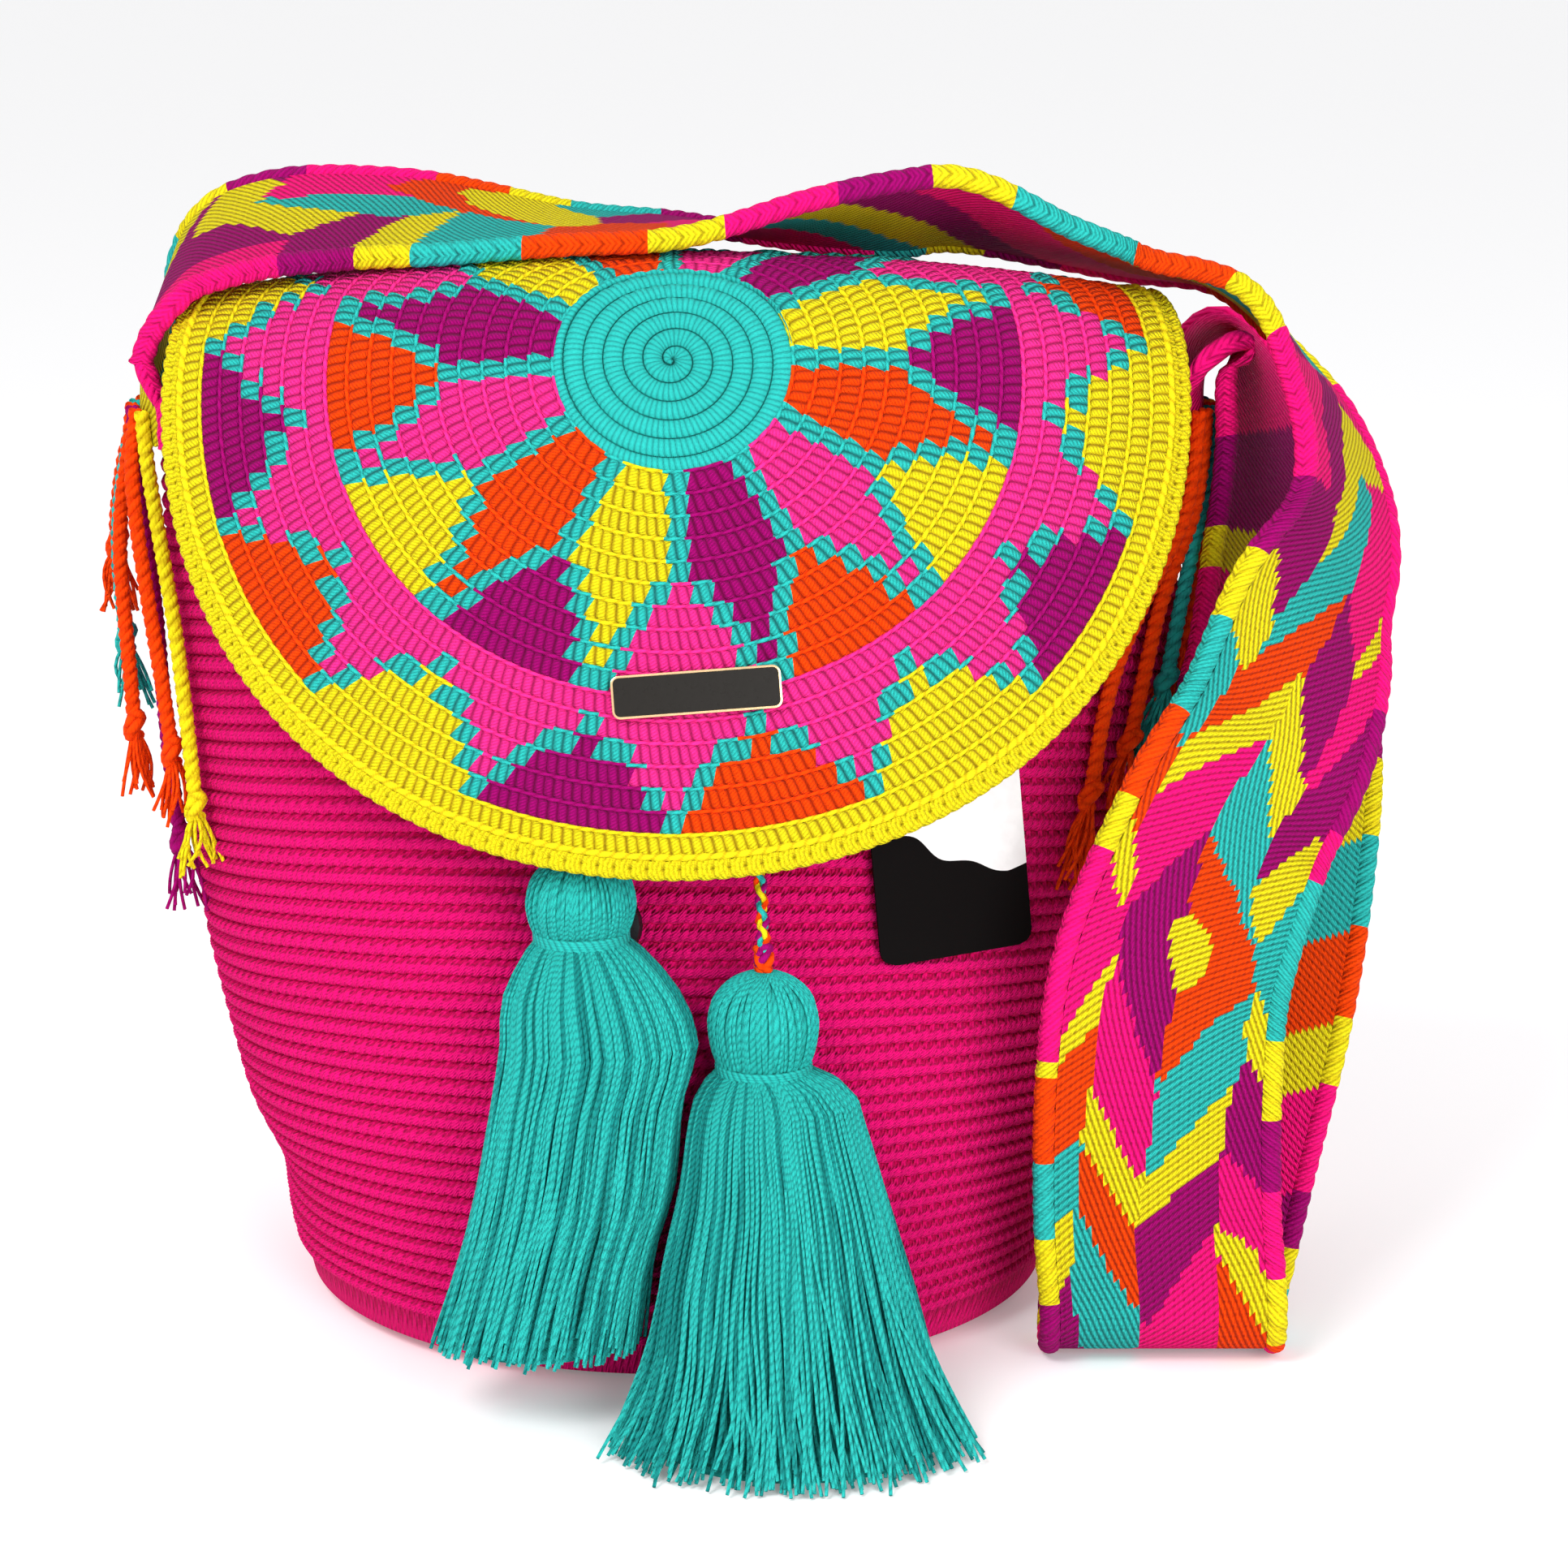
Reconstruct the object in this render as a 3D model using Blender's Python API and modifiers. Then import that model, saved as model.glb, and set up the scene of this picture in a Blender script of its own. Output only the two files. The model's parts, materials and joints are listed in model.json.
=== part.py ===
"""Crocheted shoulder bag with a round flap, a woven strap, a drawstring and two tassels.

The front faces -Y and up is +Z. The origin is the middle of the flat base, on the floor. Sizes are in metres.
"""

import math

import bmesh
import bpy
from mathutils import Matrix, Vector

GAP = 0.0003

# Body: a tube of crochet rows, round at the foot and pressed flat at the mouth.
BASE_RADIUS = 0.090
BASE_CORNER = 0.012
WALL = 0.004
MOUTH_HALF_WIDTH = 0.1325
MOUTH_HALF_DEPTH = 0.060
RIM_FRONT = 0.253
RIM_SIDE = 0.234
WIDTH_EASE = 2.75
DEPTH_EASE = 2.2
BODY_ROWS = 50
ROW_GROWTH = 0.15
ROW_RIDGE = 0.0009
BODY_SIDES = 32

# A soft fold low on the left side of the wall.
FOLD_DEPTH = 0.0035
FOLD_ANGLE = math.radians(192)
FOLD_WIDTH = 0.4
FOLD_HEIGHT = 0.034
FOLD_REACH = 0.011

# Eyelets for the drawstring, in one row below the rim.
EYELETS = 12
EYELET_RADIUS = 0.0054
EYELET_SHARE = 0.885
EYELET_CUTTER = 0.030

# Flap: a flat crocheted disc in rounds, bent over the front of the rim.
CORE_ROUNDS = 6
CORE_PITCH = 0.0049
ROUNDS = 24
ROUND_PITCH = 0.0058
FLAP_WALL = 0.0042
FLAP_RIDGE = 0.0009
FLAP_SIDES = 60
FLAP_BEND = 0.037
FLAP_SEAT_ANGLE = math.radians(29)
FLAP_SEAT_GAP = 0.0008
FLAP_SHIFT = 0.002
FLAP_LEAN_TOP = math.radians(24)
FLAP_LEAN_TIP = math.radians(11)
FLAP_CURVE = 0.30
FLAP_DROOP = 0.75
FLAP_SETTLE = 0.95
FLAP_STRETCH = 1.12
FLAP_FALL = 0.45
FLAP_RADIUS = CORE_ROUNDS * CORE_PITCH + (ROUNDS - CORE_ROUNDS) * ROUND_PITCH

# The star on the flap: twelve petals, then fifteen triangles round the edge. Angles run clockwise from the right.
STITCH = 0.0050
PETALS = 12
PETAL_START = 88
PETAL_FULL_ROUND = 11
PETAL_LAST_ROUND = 16
EDGE_TRIANGLES = 15
EDGE_TIP = 77.8
EDGE_FIRST_ROUND = 18
EDGE_LAST_ROUND = 22
PETAL_COLOURS = ("yellow", "orange", "pink", "purple")
BETWEEN_COLOURS = ("pink", "purple", "yellow", "orange")
EDGE_COLOURS = ("orange", "purple", "yellow") * 3 + ("orange", "purple", "orange", "yellow", "purple", "yellow")
STRAP_YARNS = ("yellow", "light pink", "purple", "teal", "orange")

# Strap: a flat woven band with a thick braided roll along each edge.
STRAP_HALF_WIDTH = 0.0315
STRAP_HALF_WALL = 0.0017
STRAP_ROLL = 0.0031
STRAP_SETBACK = 0.006
STRAP_LAP = 0.010
STRAP_STEPS = 1
STRAP_FIELD = 3

# Drawstring: one braided cord through the eyelets, with both ends hanging at the front.
CORD_RADIUS = 0.0018
CORD_LIFT = 0.0016
CORD_SPACING = 0.010

# Tassels: a bound head of yarn over a loose skirt.
TASSEL_SIDES = 24
FLUTE_DEPTH = 0.05
NECK_RADIUS = 0.0108
HEAD_FLATTEN = 0.92
HEAD_CROWN = math.radians(78)
TIE_WALL = 0.0010
TIE_HEIGHT = 0.0032
LEFT_TASSEL = {"x": -0.0207, "neck": 0.1130, "lower": 0.0090, "upper": 0.0122, "radius": 0.0136}
RIGHT_TASSEL = {"x": 0.0240, "neck": 0.0813, "lower": 0.0128, "upper": 0.0118, "radius": 0.0137}

# Fringe cords at the strap's two ends.
FRINGE_RADIUS = 0.0018
FRINGE_SPACING = 0.014
FRINGE_LIFT = 0.0004
KNOT_SWELL = 1.9
TUFT_SWELL = 1.5

# Trims: a small metal plate on the flap, a card tag, and the two halves of a snap.
PLATE_WIDTH = 0.041
PLATE_HEIGHT = 0.0105
PLATE_THICKNESS = 0.0012
PLATE_CORNER = 0.002
PLATE_ACROSS = 0.006
PLATE_ALONG = -0.086
PLATE_TILT = math.radians(4)
TAG_WIDTH = 0.0420
TAG_HEIGHT = 0.076
TAG_THICKNESS = 0.0006
TAG_CORNER = 0.004
TAG_X = 0.0690
TAG_BOTTOM = 0.101
TAG_TILT = math.radians(3)
TAG_PALE_SHARE = 0.42
TAG_GAP = 0.0006
SNAP_RADIUS = 0.0085
SNAP_THICKNESS = 0.0016
SNAP_POST_RADIUS = 0.0035
SNAP_POST_HEIGHT = 0.0010
SNAP_X = -0.0145
SNAP_HEIGHT = 0.112
SNAP_ALONG = -0.118
TASSEL_STAND_OFF = SNAP_THICKNESS + 4 * GAP

COLOURS = {
    "pink": (0.80, 0.012, 0.14),
    "light pink": (0.87, 0.09, 0.26),
    "teal": (0.03, 0.50, 0.42),
    "yellow": (0.85, 0.70, 0.03),
    "orange": (0.90, 0.11, 0.008),
    "purple": (0.28, 0.004, 0.16),
    "black": (0.012, 0.011, 0.010),
    "white": (0.80, 0.80, 0.78),
    "brass": (0.80, 0.58, 0.30),
}
YARNS = ("pink", "light pink", "teal", "yellow", "orange", "purple")


def blend(low, high, share):
    return low + (high - low) * share


def clear_scene():
    for obj in list(bpy.data.objects):
        bpy.data.objects.remove(obj, do_unlink=True)


def new_collection(name, hidden=False):
    collection = bpy.data.collections.new(name)
    collection.hide_render = hidden
    bpy.context.scene.collection.children.link(collection)
    return collection


def make_material(name, colour, roughness=0.85, metallic=0.0):
    material = bpy.data.materials.new(name)
    material.use_nodes = True
    shader = material.node_tree.nodes["Principled BSDF"]
    shader.inputs["Base Color"].default_value = (*COLOURS[colour], 1)
    shader.inputs["Roughness"].default_value = roughness
    shader.inputs["Metallic"].default_value = metallic
    material.diffuse_color = (*COLOURS[colour], 1)
    return material


def add_object(name, mesh, materials, smooth_angle=50):
    for material in materials:
        mesh.materials.append(material)
    mesh.shade_smooth()
    mesh.set_sharp_from_angle(angle=math.radians(smooth_angle))
    obj = bpy.data.objects.new(name, mesh)
    PARTS.objects.link(obj)
    return obj


def loft(name, rings, materials, slot_of=None, closed=False):
    """Joins rings of equal count into one skin, with a flat end on the first and last ring unless it is closed."""
    bm = bmesh.new()
    rows = [[bm.verts.new(point) for point in ring] for ring in rings]
    count = len(rings[0])
    pairs = list(zip(rows, rows[1:]))
    if closed:
        pairs.append((rows[-1], rows[0]))
    for row, (lower, upper) in enumerate(pairs):
        for side in range(count):
            after = (side + 1) % count
            face = bm.faces.new((lower[side], lower[after], upper[after], upper[side]))
            face.material_index = slot_of(row, side) if slot_of else 0
    if not closed:
        bm.faces.new(rows[0])
        bm.faces.new(rows[-1])
    bmesh.ops.recalc_face_normals(bm, faces=bm.faces)
    mesh = bpy.data.meshes.new(name)
    bm.to_mesh(mesh)
    bm.free()
    return add_object(name, mesh, materials)


def smooth_path(points, steps):
    """A smooth curve through the points, with the same number of steps between each two."""
    points = [Vector(point) for point in points]
    padded = [2 * points[0] - points[1], *points, 2 * points[-1] - points[-2]]
    path = []
    for before, start, end, after in zip(padded, padded[1:], padded[2:], padded[3:]):
        for step in range(steps):
            t = step / steps
            path.append(
                0.5 * (2 * start + (end - before) * t + (2 * before - 5 * start + 4 * end - after) * t * t
                       + (3 * start - before - 3 * end + after) * t ** 3)
            )
    return [*path, points[-1]]


def even_path(points, spacing):
    """The smooth curve through the points, read off at even distances."""
    fine = smooth_path(points, 24)
    lengths = [0.0]
    for start, end in zip(fine, fine[1:]):
        lengths.append(lengths[-1] + (end - start).length)
    count = max(2, round(lengths[-1] / spacing))
    path, index = [], 0
    for step in range(count + 1):
        wanted = lengths[-1] * step / count
        while index < len(lengths) - 2 and lengths[index + 1] < wanted:
            index += 1
        share = (wanted - lengths[index]) / (lengths[index + 1] - lengths[index])
        path.append(fine[index].lerp(fine[index + 1], share))
    return path


def tube(name, path, radius, material, swells=None):
    """A plain round cord along the path. Swells are the radius factors of its points."""
    curve = bpy.data.curves.new(name, "CURVE")
    curve.dimensions = "3D"
    curve.bevel_depth = radius
    curve.bevel_resolution = 2
    curve.use_fill_caps = True
    spline = curve.splines.new("POLY")
    spline.points.add(len(path) - 1)
    for index, point in enumerate(path):
        spline.points[index].co = (*point, 1)
        spline.points[index].radius = swells[index] if swells else 1
    curve.materials.append(material)
    obj = bpy.data.objects.new(name, curve)
    PARTS.objects.link(obj)
    return obj


def rounded_plate(name, width, height, thickness, corner, materials):
    """A flat plate with round corners, centred on its place, with its face towards +Z and its top towards +Y."""
    bm = bmesh.new()
    bmesh.ops.create_cube(bm, size=1)
    bmesh.ops.scale(bm, vec=(width, height, thickness), verts=bm.verts)
    upright = [edge for edge in bm.edges if abs((edge.verts[0].co - edge.verts[1].co).z) > thickness / 2]
    bmesh.ops.bevel(bm, geom=upright, offset=corner, segments=4, profile=0.5, affect="EDGES")
    mesh = bpy.data.meshes.new(name)
    bm.to_mesh(mesh)
    bm.free()
    return add_object(name, mesh, materials, smooth_angle=30)


def facing(point, normal, tilt=0.0):
    """A place at the point whose Z is the normal and whose Y is as upright as it can be, turned by the tilt."""
    right = Vector((0, 0, 1)).cross(normal).normalized()
    turned = Matrix((right, normal.cross(right), normal)).transposed().to_4x4()
    return Matrix.Translation(point) @ turned @ Matrix.Rotation(tilt, 4, "Z")


def cut(obj, name, shape):
    """Cuts the shape, a finished bmesh in world space, from the object."""
    mesh = bpy.data.meshes.new(name)
    shape.to_mesh(mesh)
    shape.free()
    cutter = bpy.data.objects.new(name, mesh)
    cutter.hide_render = True
    cutter.display_type = "WIRE"
    CUTTERS.objects.link(cutter)
    modifier = obj.modifiers.new(name, "BOOLEAN")
    modifier.operation = "DIFFERENCE"
    modifier.object = cutter


# Body

def rim_height(angle):
    return blend(RIM_SIDE, RIM_FRONT, math.sin(angle) ** 2)


def wall_half_width(share):
    return blend(BASE_RADIUS + BASE_CORNER, MOUTH_HALF_WIDTH, 1 - (1 - share) ** WIDTH_EASE)


def wall_half_depth(share):
    return blend(BASE_RADIUS + BASE_CORNER, MOUTH_HALF_DEPTH, 1 - (1 - share) ** DEPTH_EASE)


def wall_normal(angle, share):
    return Vector((wall_half_depth(share) * math.cos(angle), wall_half_width(share) * math.sin(angle), 0)).normalized()


def wall_point(angle, share, inset=0.0):
    """A point of the wall, from share 0 at the base corner to 1 at the rim, moved in by the inset."""
    height = blend(BASE_CORNER, rim_height(angle), share)
    point = Vector((wall_half_width(share) * math.cos(angle), wall_half_depth(share) * math.sin(angle), height))
    turned = (angle - FOLD_ANGLE + math.pi) % (2 * math.pi) - math.pi
    fold = FOLD_DEPTH * math.exp(-(turned / FOLD_WIDTH) ** 2 - ((height - FOLD_HEIGHT) / FOLD_REACH) ** 2)
    return point - wall_normal(angle, share) * (inset + fold)


def share_at(height, angle):
    return (height - BASE_CORNER) / (rim_height(angle) - BASE_CORNER)


def front_point(x, height, inset=0.0):
    """The point of the front wall at this x and height."""
    angle = -math.pi / 2
    for _ in range(12):
        share = share_at(height, angle)
        angle = -math.acos(max(-1.0, min(1.0, x / wall_half_width(share))))
    return wall_point(angle, share_at(height, angle), inset)


def angles():
    return [2 * math.pi * side / BODY_SIDES for side in range(BODY_SIDES)]


def foot_ring(radius, height):
    return [Vector((radius * math.cos(angle), radius * math.sin(angle), height)) for angle in angles()]


def row_share(row):
    share = row / BODY_ROWS
    return share * (1 - ROW_GROWTH * (1 - share))


def body_rings():
    """Rings from the inside of the base up the inner wall, over the rim and down the ridged outer wall."""
    inside = WALL + ROW_RIDGE
    slope = math.cos(math.pi / 4)
    rings = [
        foot_ring(BASE_RADIUS * 0.5, WALL),
        foot_ring(BASE_RADIUS - WALL, WALL),
        foot_ring(BASE_RADIUS + BASE_CORNER - inside, BASE_CORNER + WALL),
    ]
    for share in (0.10, 0.20, 0.35, 0.55, 0.75, 0.95, 1.0):
        rings.append([wall_point(angle, share, inside) for angle in angles()])
    for row in range(BODY_ROWS, -1, -1):
        inset = 0.0 if row % 2 else ROW_RIDGE
        rings.append([wall_point(angle, row_share(row), inset) for angle in angles()])
    rings.append(foot_ring(BASE_RADIUS + BASE_CORNER * slope, BASE_CORNER * (1 - slope)))
    rings.append(foot_ring(BASE_RADIUS, 0.0))
    return rings


def eyelet_angles():
    """Angles that share the mouth's edge evenly. The first is just left of the front's middle, and they go round by the left."""
    samples = 2000
    share = EYELET_SHARE
    steps = [-math.pi / 2 - 2 * math.pi * sample / samples for sample in range(samples + 1)]
    lengths = [0.0]
    for start, end in zip(steps, steps[1:]):
        lengths.append(lengths[-1] + (wall_point(start, share) - wall_point(end, share)).length)
    found = []
    for eyelet in range(EYELETS):
        wanted = lengths[-1] * (eyelet + 0.5) / EYELETS
        found.append(steps[min(range(samples + 1), key=lambda sample: abs(lengths[sample] - wanted))])
    return found


def make_body(material):
    body = loft("bag_body", body_rings(), [material])
    for number, angle in enumerate(eyelet_angles(), 1):
        bm = bmesh.new()
        bmesh.ops.create_cone(
            bm, cap_ends=True, segments=8, radius1=EYELET_RADIUS, radius2=EYELET_RADIUS, depth=EYELET_CUTTER
        )
        normal = wall_normal(angle, EYELET_SHARE)
        bmesh.ops.rotate(bm, verts=bm.verts, matrix=normal.to_track_quat("Z", "X").to_matrix())
        bmesh.ops.translate(bm, verts=bm.verts, vec=wall_point(angle, EYELET_SHARE, WALL / 2))
        cut(body, f"eyelet_cutter_{number}", bm)
    return body


# Flap

def flap_bend_centre():
    """The flap bends round this point, so that its inner face rests on the front edge of the rim."""
    inner = FLAP_BEND - FLAP_WALL - FLAP_SEAT_GAP
    edge = Vector((0, -MOUTH_HALF_DEPTH, RIM_FRONT))
    return edge + Vector((0, math.cos(FLAP_SEAT_ANGLE), -math.sin(FLAP_SEAT_ANGLE))) * inner


def flap_surface(across, along):
    """The flap's outer face. Along is 0 at the disc's centre, negative to the tip and positive to the back."""
    middle = flap_bend_centre()
    x = FLAP_SHIFT + FLAP_CURVE * math.sin(across / FLAP_CURVE)
    back = FLAP_CURVE * (1 - math.cos(across / FLAP_CURVE))
    droop = FLAP_DROOP * across ** 2
    start = Vector((0, -math.cos(FLAP_LEAN_TOP), math.sin(FLAP_LEAN_TOP))) * FLAP_BEND + middle
    if along <= 0:
        run = -along * FLAP_SETTLE
        rate = (FLAP_LEAN_TOP - FLAP_LEAN_TIP) / FLAP_RADIUS
        lean = FLAP_LEAN_TOP - rate * run
        y = start.y - (math.cos(lean) - math.cos(FLAP_LEAN_TOP)) / rate
        z = start.z - (math.sin(FLAP_LEAN_TOP) - math.sin(lean)) / rate
        return Vector((x, y + back, z - droop))
    bend_length = FLAP_BEND * (math.pi / 2 - FLAP_LEAN_TOP)
    turned = math.pi / 2 - FLAP_LEAN_TOP - min(along, bend_length) / FLAP_BEND
    y = middle.y - FLAP_BEND * math.sin(turned) + back
    z = middle.z + FLAP_BEND * math.cos(turned) - droop
    if along <= bend_length:
        return Vector((x, y, z))
    end = max(math.sqrt(max(FLAP_RADIUS ** 2 - across ** 2, 0.0)), along)
    reach = end - bend_length
    side = min(1.0, (x / MOUTH_HALF_WIDTH) ** 2)
    rim_y = MOUTH_HALF_DEPTH * math.sqrt(1 - side) - WALL / 2
    rim_z = blend(RIM_SIDE, RIM_FRONT, 1 - side) + FLAP_WALL + FLAP_SEAT_GAP
    end_y = min(rim_y, y + FLAP_STRETCH * reach)
    end_z = max(rim_z, z - FLAP_FALL * reach)
    share = (along - bend_length) / reach
    return Vector((x, blend(y, end_y, share), blend(z, end_z, share ** 1.7)))


def flap_normal(across, along):
    step = 0.001
    over = flap_surface(across + step, along) - flap_surface(across - step, along)
    up = flap_surface(across, along + step) - flap_surface(across, along - step)
    return over.cross(up).normalized()


def flap_point(radius, degrees, depth=0.0):
    """A point of the flap in disc terms: degrees run clockwise from the right, and depth is under the outer face."""
    across = radius * math.cos(math.radians(degrees))
    along = -radius * math.sin(math.radians(degrees))
    return flap_surface(across, along) - flap_normal(across, along) * depth


def round_radius(number):
    """The outer radius of a round of stitches."""
    core = min(number, CORE_ROUNDS)
    return core * CORE_PITCH + (number - core) * ROUND_PITCH


def flap_colour(number, degrees):
    """The yarn at this round and angle: petals, the triangles between them, a ring, edge triangles and a border."""
    radius = round_radius(number) - ROUND_PITCH / 2
    if number <= CORE_ROUNDS:
        return "teal"
    if number > EDGE_LAST_ROUND:
        return "yellow"
    sector = 360 / PETALS
    turn = (degrees - PETAL_START) / sector
    if number <= PETAL_LAST_ROUND:
        nearest = round(turn)
        stitches = abs(turn - nearest) * math.radians(sector) * radius / STITCH
        inner = 0.5 + 0.8 * (number - PETAL_FULL_ROUND - 1) if number > PETAL_FULL_ROUND else -0.5
        if stitches < inner:
            return BETWEEN_COLOURS[nearest % len(BETWEEN_COLOURS)]
        if stitches < inner + 1:
            return "teal"
        return PETAL_COLOURS[math.floor(turn) % len(PETAL_COLOURS)]
    if number < EDGE_FIRST_ROUND:
        return "pink"
    unit = 360 / EDGE_TRIANGLES
    turn = (degrees - EDGE_TIP) / unit
    nearest = round(turn)
    stitches = (0.5 - abs(turn - nearest)) * math.radians(unit) * radius / STITCH
    inner = EDGE_LAST_ROUND - 0.5 - number
    if stitches < inner:
        return "pink"
    if stitches < inner + 1:
        return "teal"
    return EDGE_COLOURS[nearest % EDGE_TRIANGLES]


def make_flap(materials):
    """Rings down the outer face and back under it, coloured by the star's rule."""
    names = list(materials)
    top_rounds = [1, 2, 4, *range(CORE_ROUNDS, ROUNDS + 1)]
    step = 360 / FLAP_SIDES
    turns = [PETAL_START + step * side for side in range(FLAP_SIDES)]
    rings = []
    for index, number in enumerate(top_rounds):
        depth = 0.0 if index % 2 else FLAP_RIDGE
        rings.append([flap_point(round_radius(number), turn, depth) for turn in turns])
    edge = FLAP_RADIUS + FLAP_WALL / 4
    rings.append([flap_point(edge, turn, FLAP_WALL / 2) for turn in turns])
    for number in (ROUNDS, 20, 16, 12, 9, CORE_ROUNDS, 3, 1):
        rings.append([flap_point(round_radius(number), turn, FLAP_WALL) for turn in turns])

    def slot_of(row, side):
        number = top_rounds[min(row + 1, len(top_rounds) - 1)]
        return names.index(flap_colour(number, turns[side] + step / 2))

    return loft("flap", rings, list(materials.values()), slot_of)


# Strap

def walk(side, arc, height, off):
    """A point off the side wall, an arc length forward of the strap's middle line. Side is -1 at the left, 1 at the right."""
    share = min(1.0, share_at(height, 0.0))
    depth = wall_half_depth(share)
    angle = math.asin(STRAP_SETBACK / depth)
    steps = 24
    for _ in range(steps):
        rate = math.hypot(wall_half_width(share) * math.sin(angle), depth * math.cos(angle))
        angle -= arc / steps / rate
    turn = angle if side > 0 else math.pi - angle
    point = wall_point(turn, share, -off)
    return Vector((point.x, point.y, height))


def strap_anchor(side):
    """The middle line's height at the rim, a roll's half thickness off the wall."""
    return walk(side, 0.0, RIM_SIDE - STRAP_LAP, STRAP_ROLL + GAP) + Vector((0, 0, STRAP_LAP))


def strap_route():
    """Middle points, the direction of the front edge and how closely the band hugs the wall, left end to right end."""
    left = strap_anchor(-1)
    right = strap_anchor(1)
    beside = Vector((right.x, 0, right.z))
    floor = Vector((right.x, 0, 0))
    top = Vector((0, 0, flap_surface(0, FLAP_BEND * (math.pi / 2 - FLAP_LEAN_TOP)).z + STRAP_ROLL + GAP))
    front = (0, -1, 0)
    return [
        (left, (0.0, 0, -STRAP_LAP), front, 1.0),
        (left, (0.0, 0, -0.001), front, 1.0),
        (left, (-0.0002, 0, 0.007), front, 0.4),
        (left, (-0.0002, 0, 0.015), front, 0.0),
        (left, (0.0015, -0.002, 0.026), (0.04, -0.98, -0.12), 0.0),
        (left, (0.0065, -0.004, 0.0355), (0.03, -0.96, -0.24), 0.0),
        (left, (0.0165, -0.005, 0.0433), (0, -0.96, -0.28), 0.0),
        (left, (0.0340, -0.006, 0.0480), (0, -0.96, -0.28), 0.0),
        (top, (-0.0780, -0.0020, 0.0048), (0, -0.97, -0.24), 0.0),
        (top, (-0.0540, -0.0070, 0.0032), (0, -0.98, -0.16), 0.0),
        (top, (-0.0260, -0.0100, 0.0012), (0, -1, -0.04), 0.0),
        (top, (0.0030, -0.0100, 0.0004), (0, -1, 0.03), 0.0),
        (top, (0.0330, -0.0080, 0.0036), (0, -0.97, 0.22), 0.0),
        (top, (0.0560, -0.0060, 0.0055), (0, -0.95, 0.32), 0.0),
        (top, (0.0730, -0.0040, 0.0050), (0, -0.94, 0.34), 0.0),
        (beside, (-0.0380, -0.0010, 0.0405), (0, -0.97, 0.25), 0.0),
        (beside, (-0.0170, -0.0010, 0.0350), (0, -0.98, 0.18), 0.0),
        (beside, (0.0030, -0.0060, 0.0310), (-0.04, -0.98, 0.12), 0.0),
        (beside, (0.0180, -0.0130, 0.0210), (-0.15, -0.96, 0.22), 0.0),
        (beside, (0.0290, -0.0220, 0.0050), (-0.30, -0.93, 0.18), 0.0),
        (beside, (0.0350, -0.0320, -0.0130), (-0.42, -0.88, 0.20), 0.0),
        (beside, (0.0345, -0.0390, -0.0300), (-0.56, -0.80, 0.20), 0.0),
        (beside, (0.0270, -0.0470, -0.0480), (-0.75, -0.64, 0.18), 0.0),
        (beside, (0.0170, -0.0600, -0.0750), (-0.86, -0.48, 0.18), 0.0),
        (beside, (0.0050, -0.0700, -0.0980), (-0.92, -0.38, 0.08), 0.0),
        (floor, (-0.0070, -0.0790, 0.1030), (-0.97, -0.20, 0.03), 0.0),
        (floor, (-0.0100, -0.0820, 0.0750), (-0.99, -0.10, 0), 0.0),
        (floor, (-0.0100, -0.0840, 0.0420), (-1, -0.04, 0), 0.0),
        (floor, (-0.0082, -0.0840, 0.0200), (-1, 0, 0), 0.0),
        (floor, (-0.0078, -0.0825, 0.0115), (-1, 0, 0), 0.0),
        (floor, (-0.0076, -0.0780, 0.0055), (-1, 0, 0), 0.0),
        (floor, (-0.0075, -0.0710, STRAP_ROLL + GAP), (-1, 0, 0), 0.0),
        (floor, (-0.0074, -0.0640, 0.0050), (-1, 0, 0), 0.0),
        (floor, (-0.0070, -0.0595, 0.0100), (-1, 0, 0), 0.0),
        (floor, (-0.0050, -0.0560, 0.0230), (-1, 0, 0), 0.0),
        (floor, (0.0010, -0.0530, 0.0500), (-1, -0.04, 0), 0.0),
        (floor, (0.0085, -0.0470, 0.0800), (-1, -0.08, 0), 0.0),
        (floor, (0.0150, -0.0380, 0.1100), (-0.97, -0.20, 0), 0.0),
        (floor, (0.0200, -0.0280, 0.1400), (-0.94, -0.35, 0), 0.0),
        (beside, (0.0230, -0.0150, -0.0690), (-0.80, -0.60, 0), 0.0),
        (beside, (0.0240, -0.0020, -0.0390), (-0.60, -0.80, 0), 0.0),
        (beside, (0.0220, 0.0050, -0.0150), (-0.40, -0.92, 0), 0.0),
        (beside, (0.0180, 0.0080, 0.0050), (-0.25, -0.97, 0), 0.0),
        (right, (0.0100, 0.0020, 0.0150), (-0.10, -0.99, 0), 0.0),
        (right, (0.0025, 0.0005, 0.0110), front, 0.2),
        (right, (0.0, 0, -0.001), front, 1.0),
        (right, (0.0, 0, -STRAP_LAP), front, 1.0),
    ]


def strap_profile():
    """The section as (across, out) pairs: over the front roll, under the web, over the back roll and back on top."""
    inner = STRAP_HALF_WIDTH - 2 * STRAP_ROLL
    roll = STRAP_HALF_WIDTH - STRAP_ROLL
    half = [
        (inner, STRAP_HALF_WALL),
        (roll, STRAP_ROLL),
        (STRAP_HALF_WIDTH, 0.0),
        (roll, -STRAP_ROLL),
        (inner, -STRAP_HALF_WALL),
    ]
    mirrored = [(-across, out) for across, out in reversed(half)]
    web = [inner * share for share in (0.5, 0.0, -0.5)]
    under = [(across, -STRAP_HALF_WALL) for across in web]
    over = [(across, STRAP_HALF_WALL) for across in reversed(web)]
    return [*half, *under, *mirrored, *over]


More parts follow.
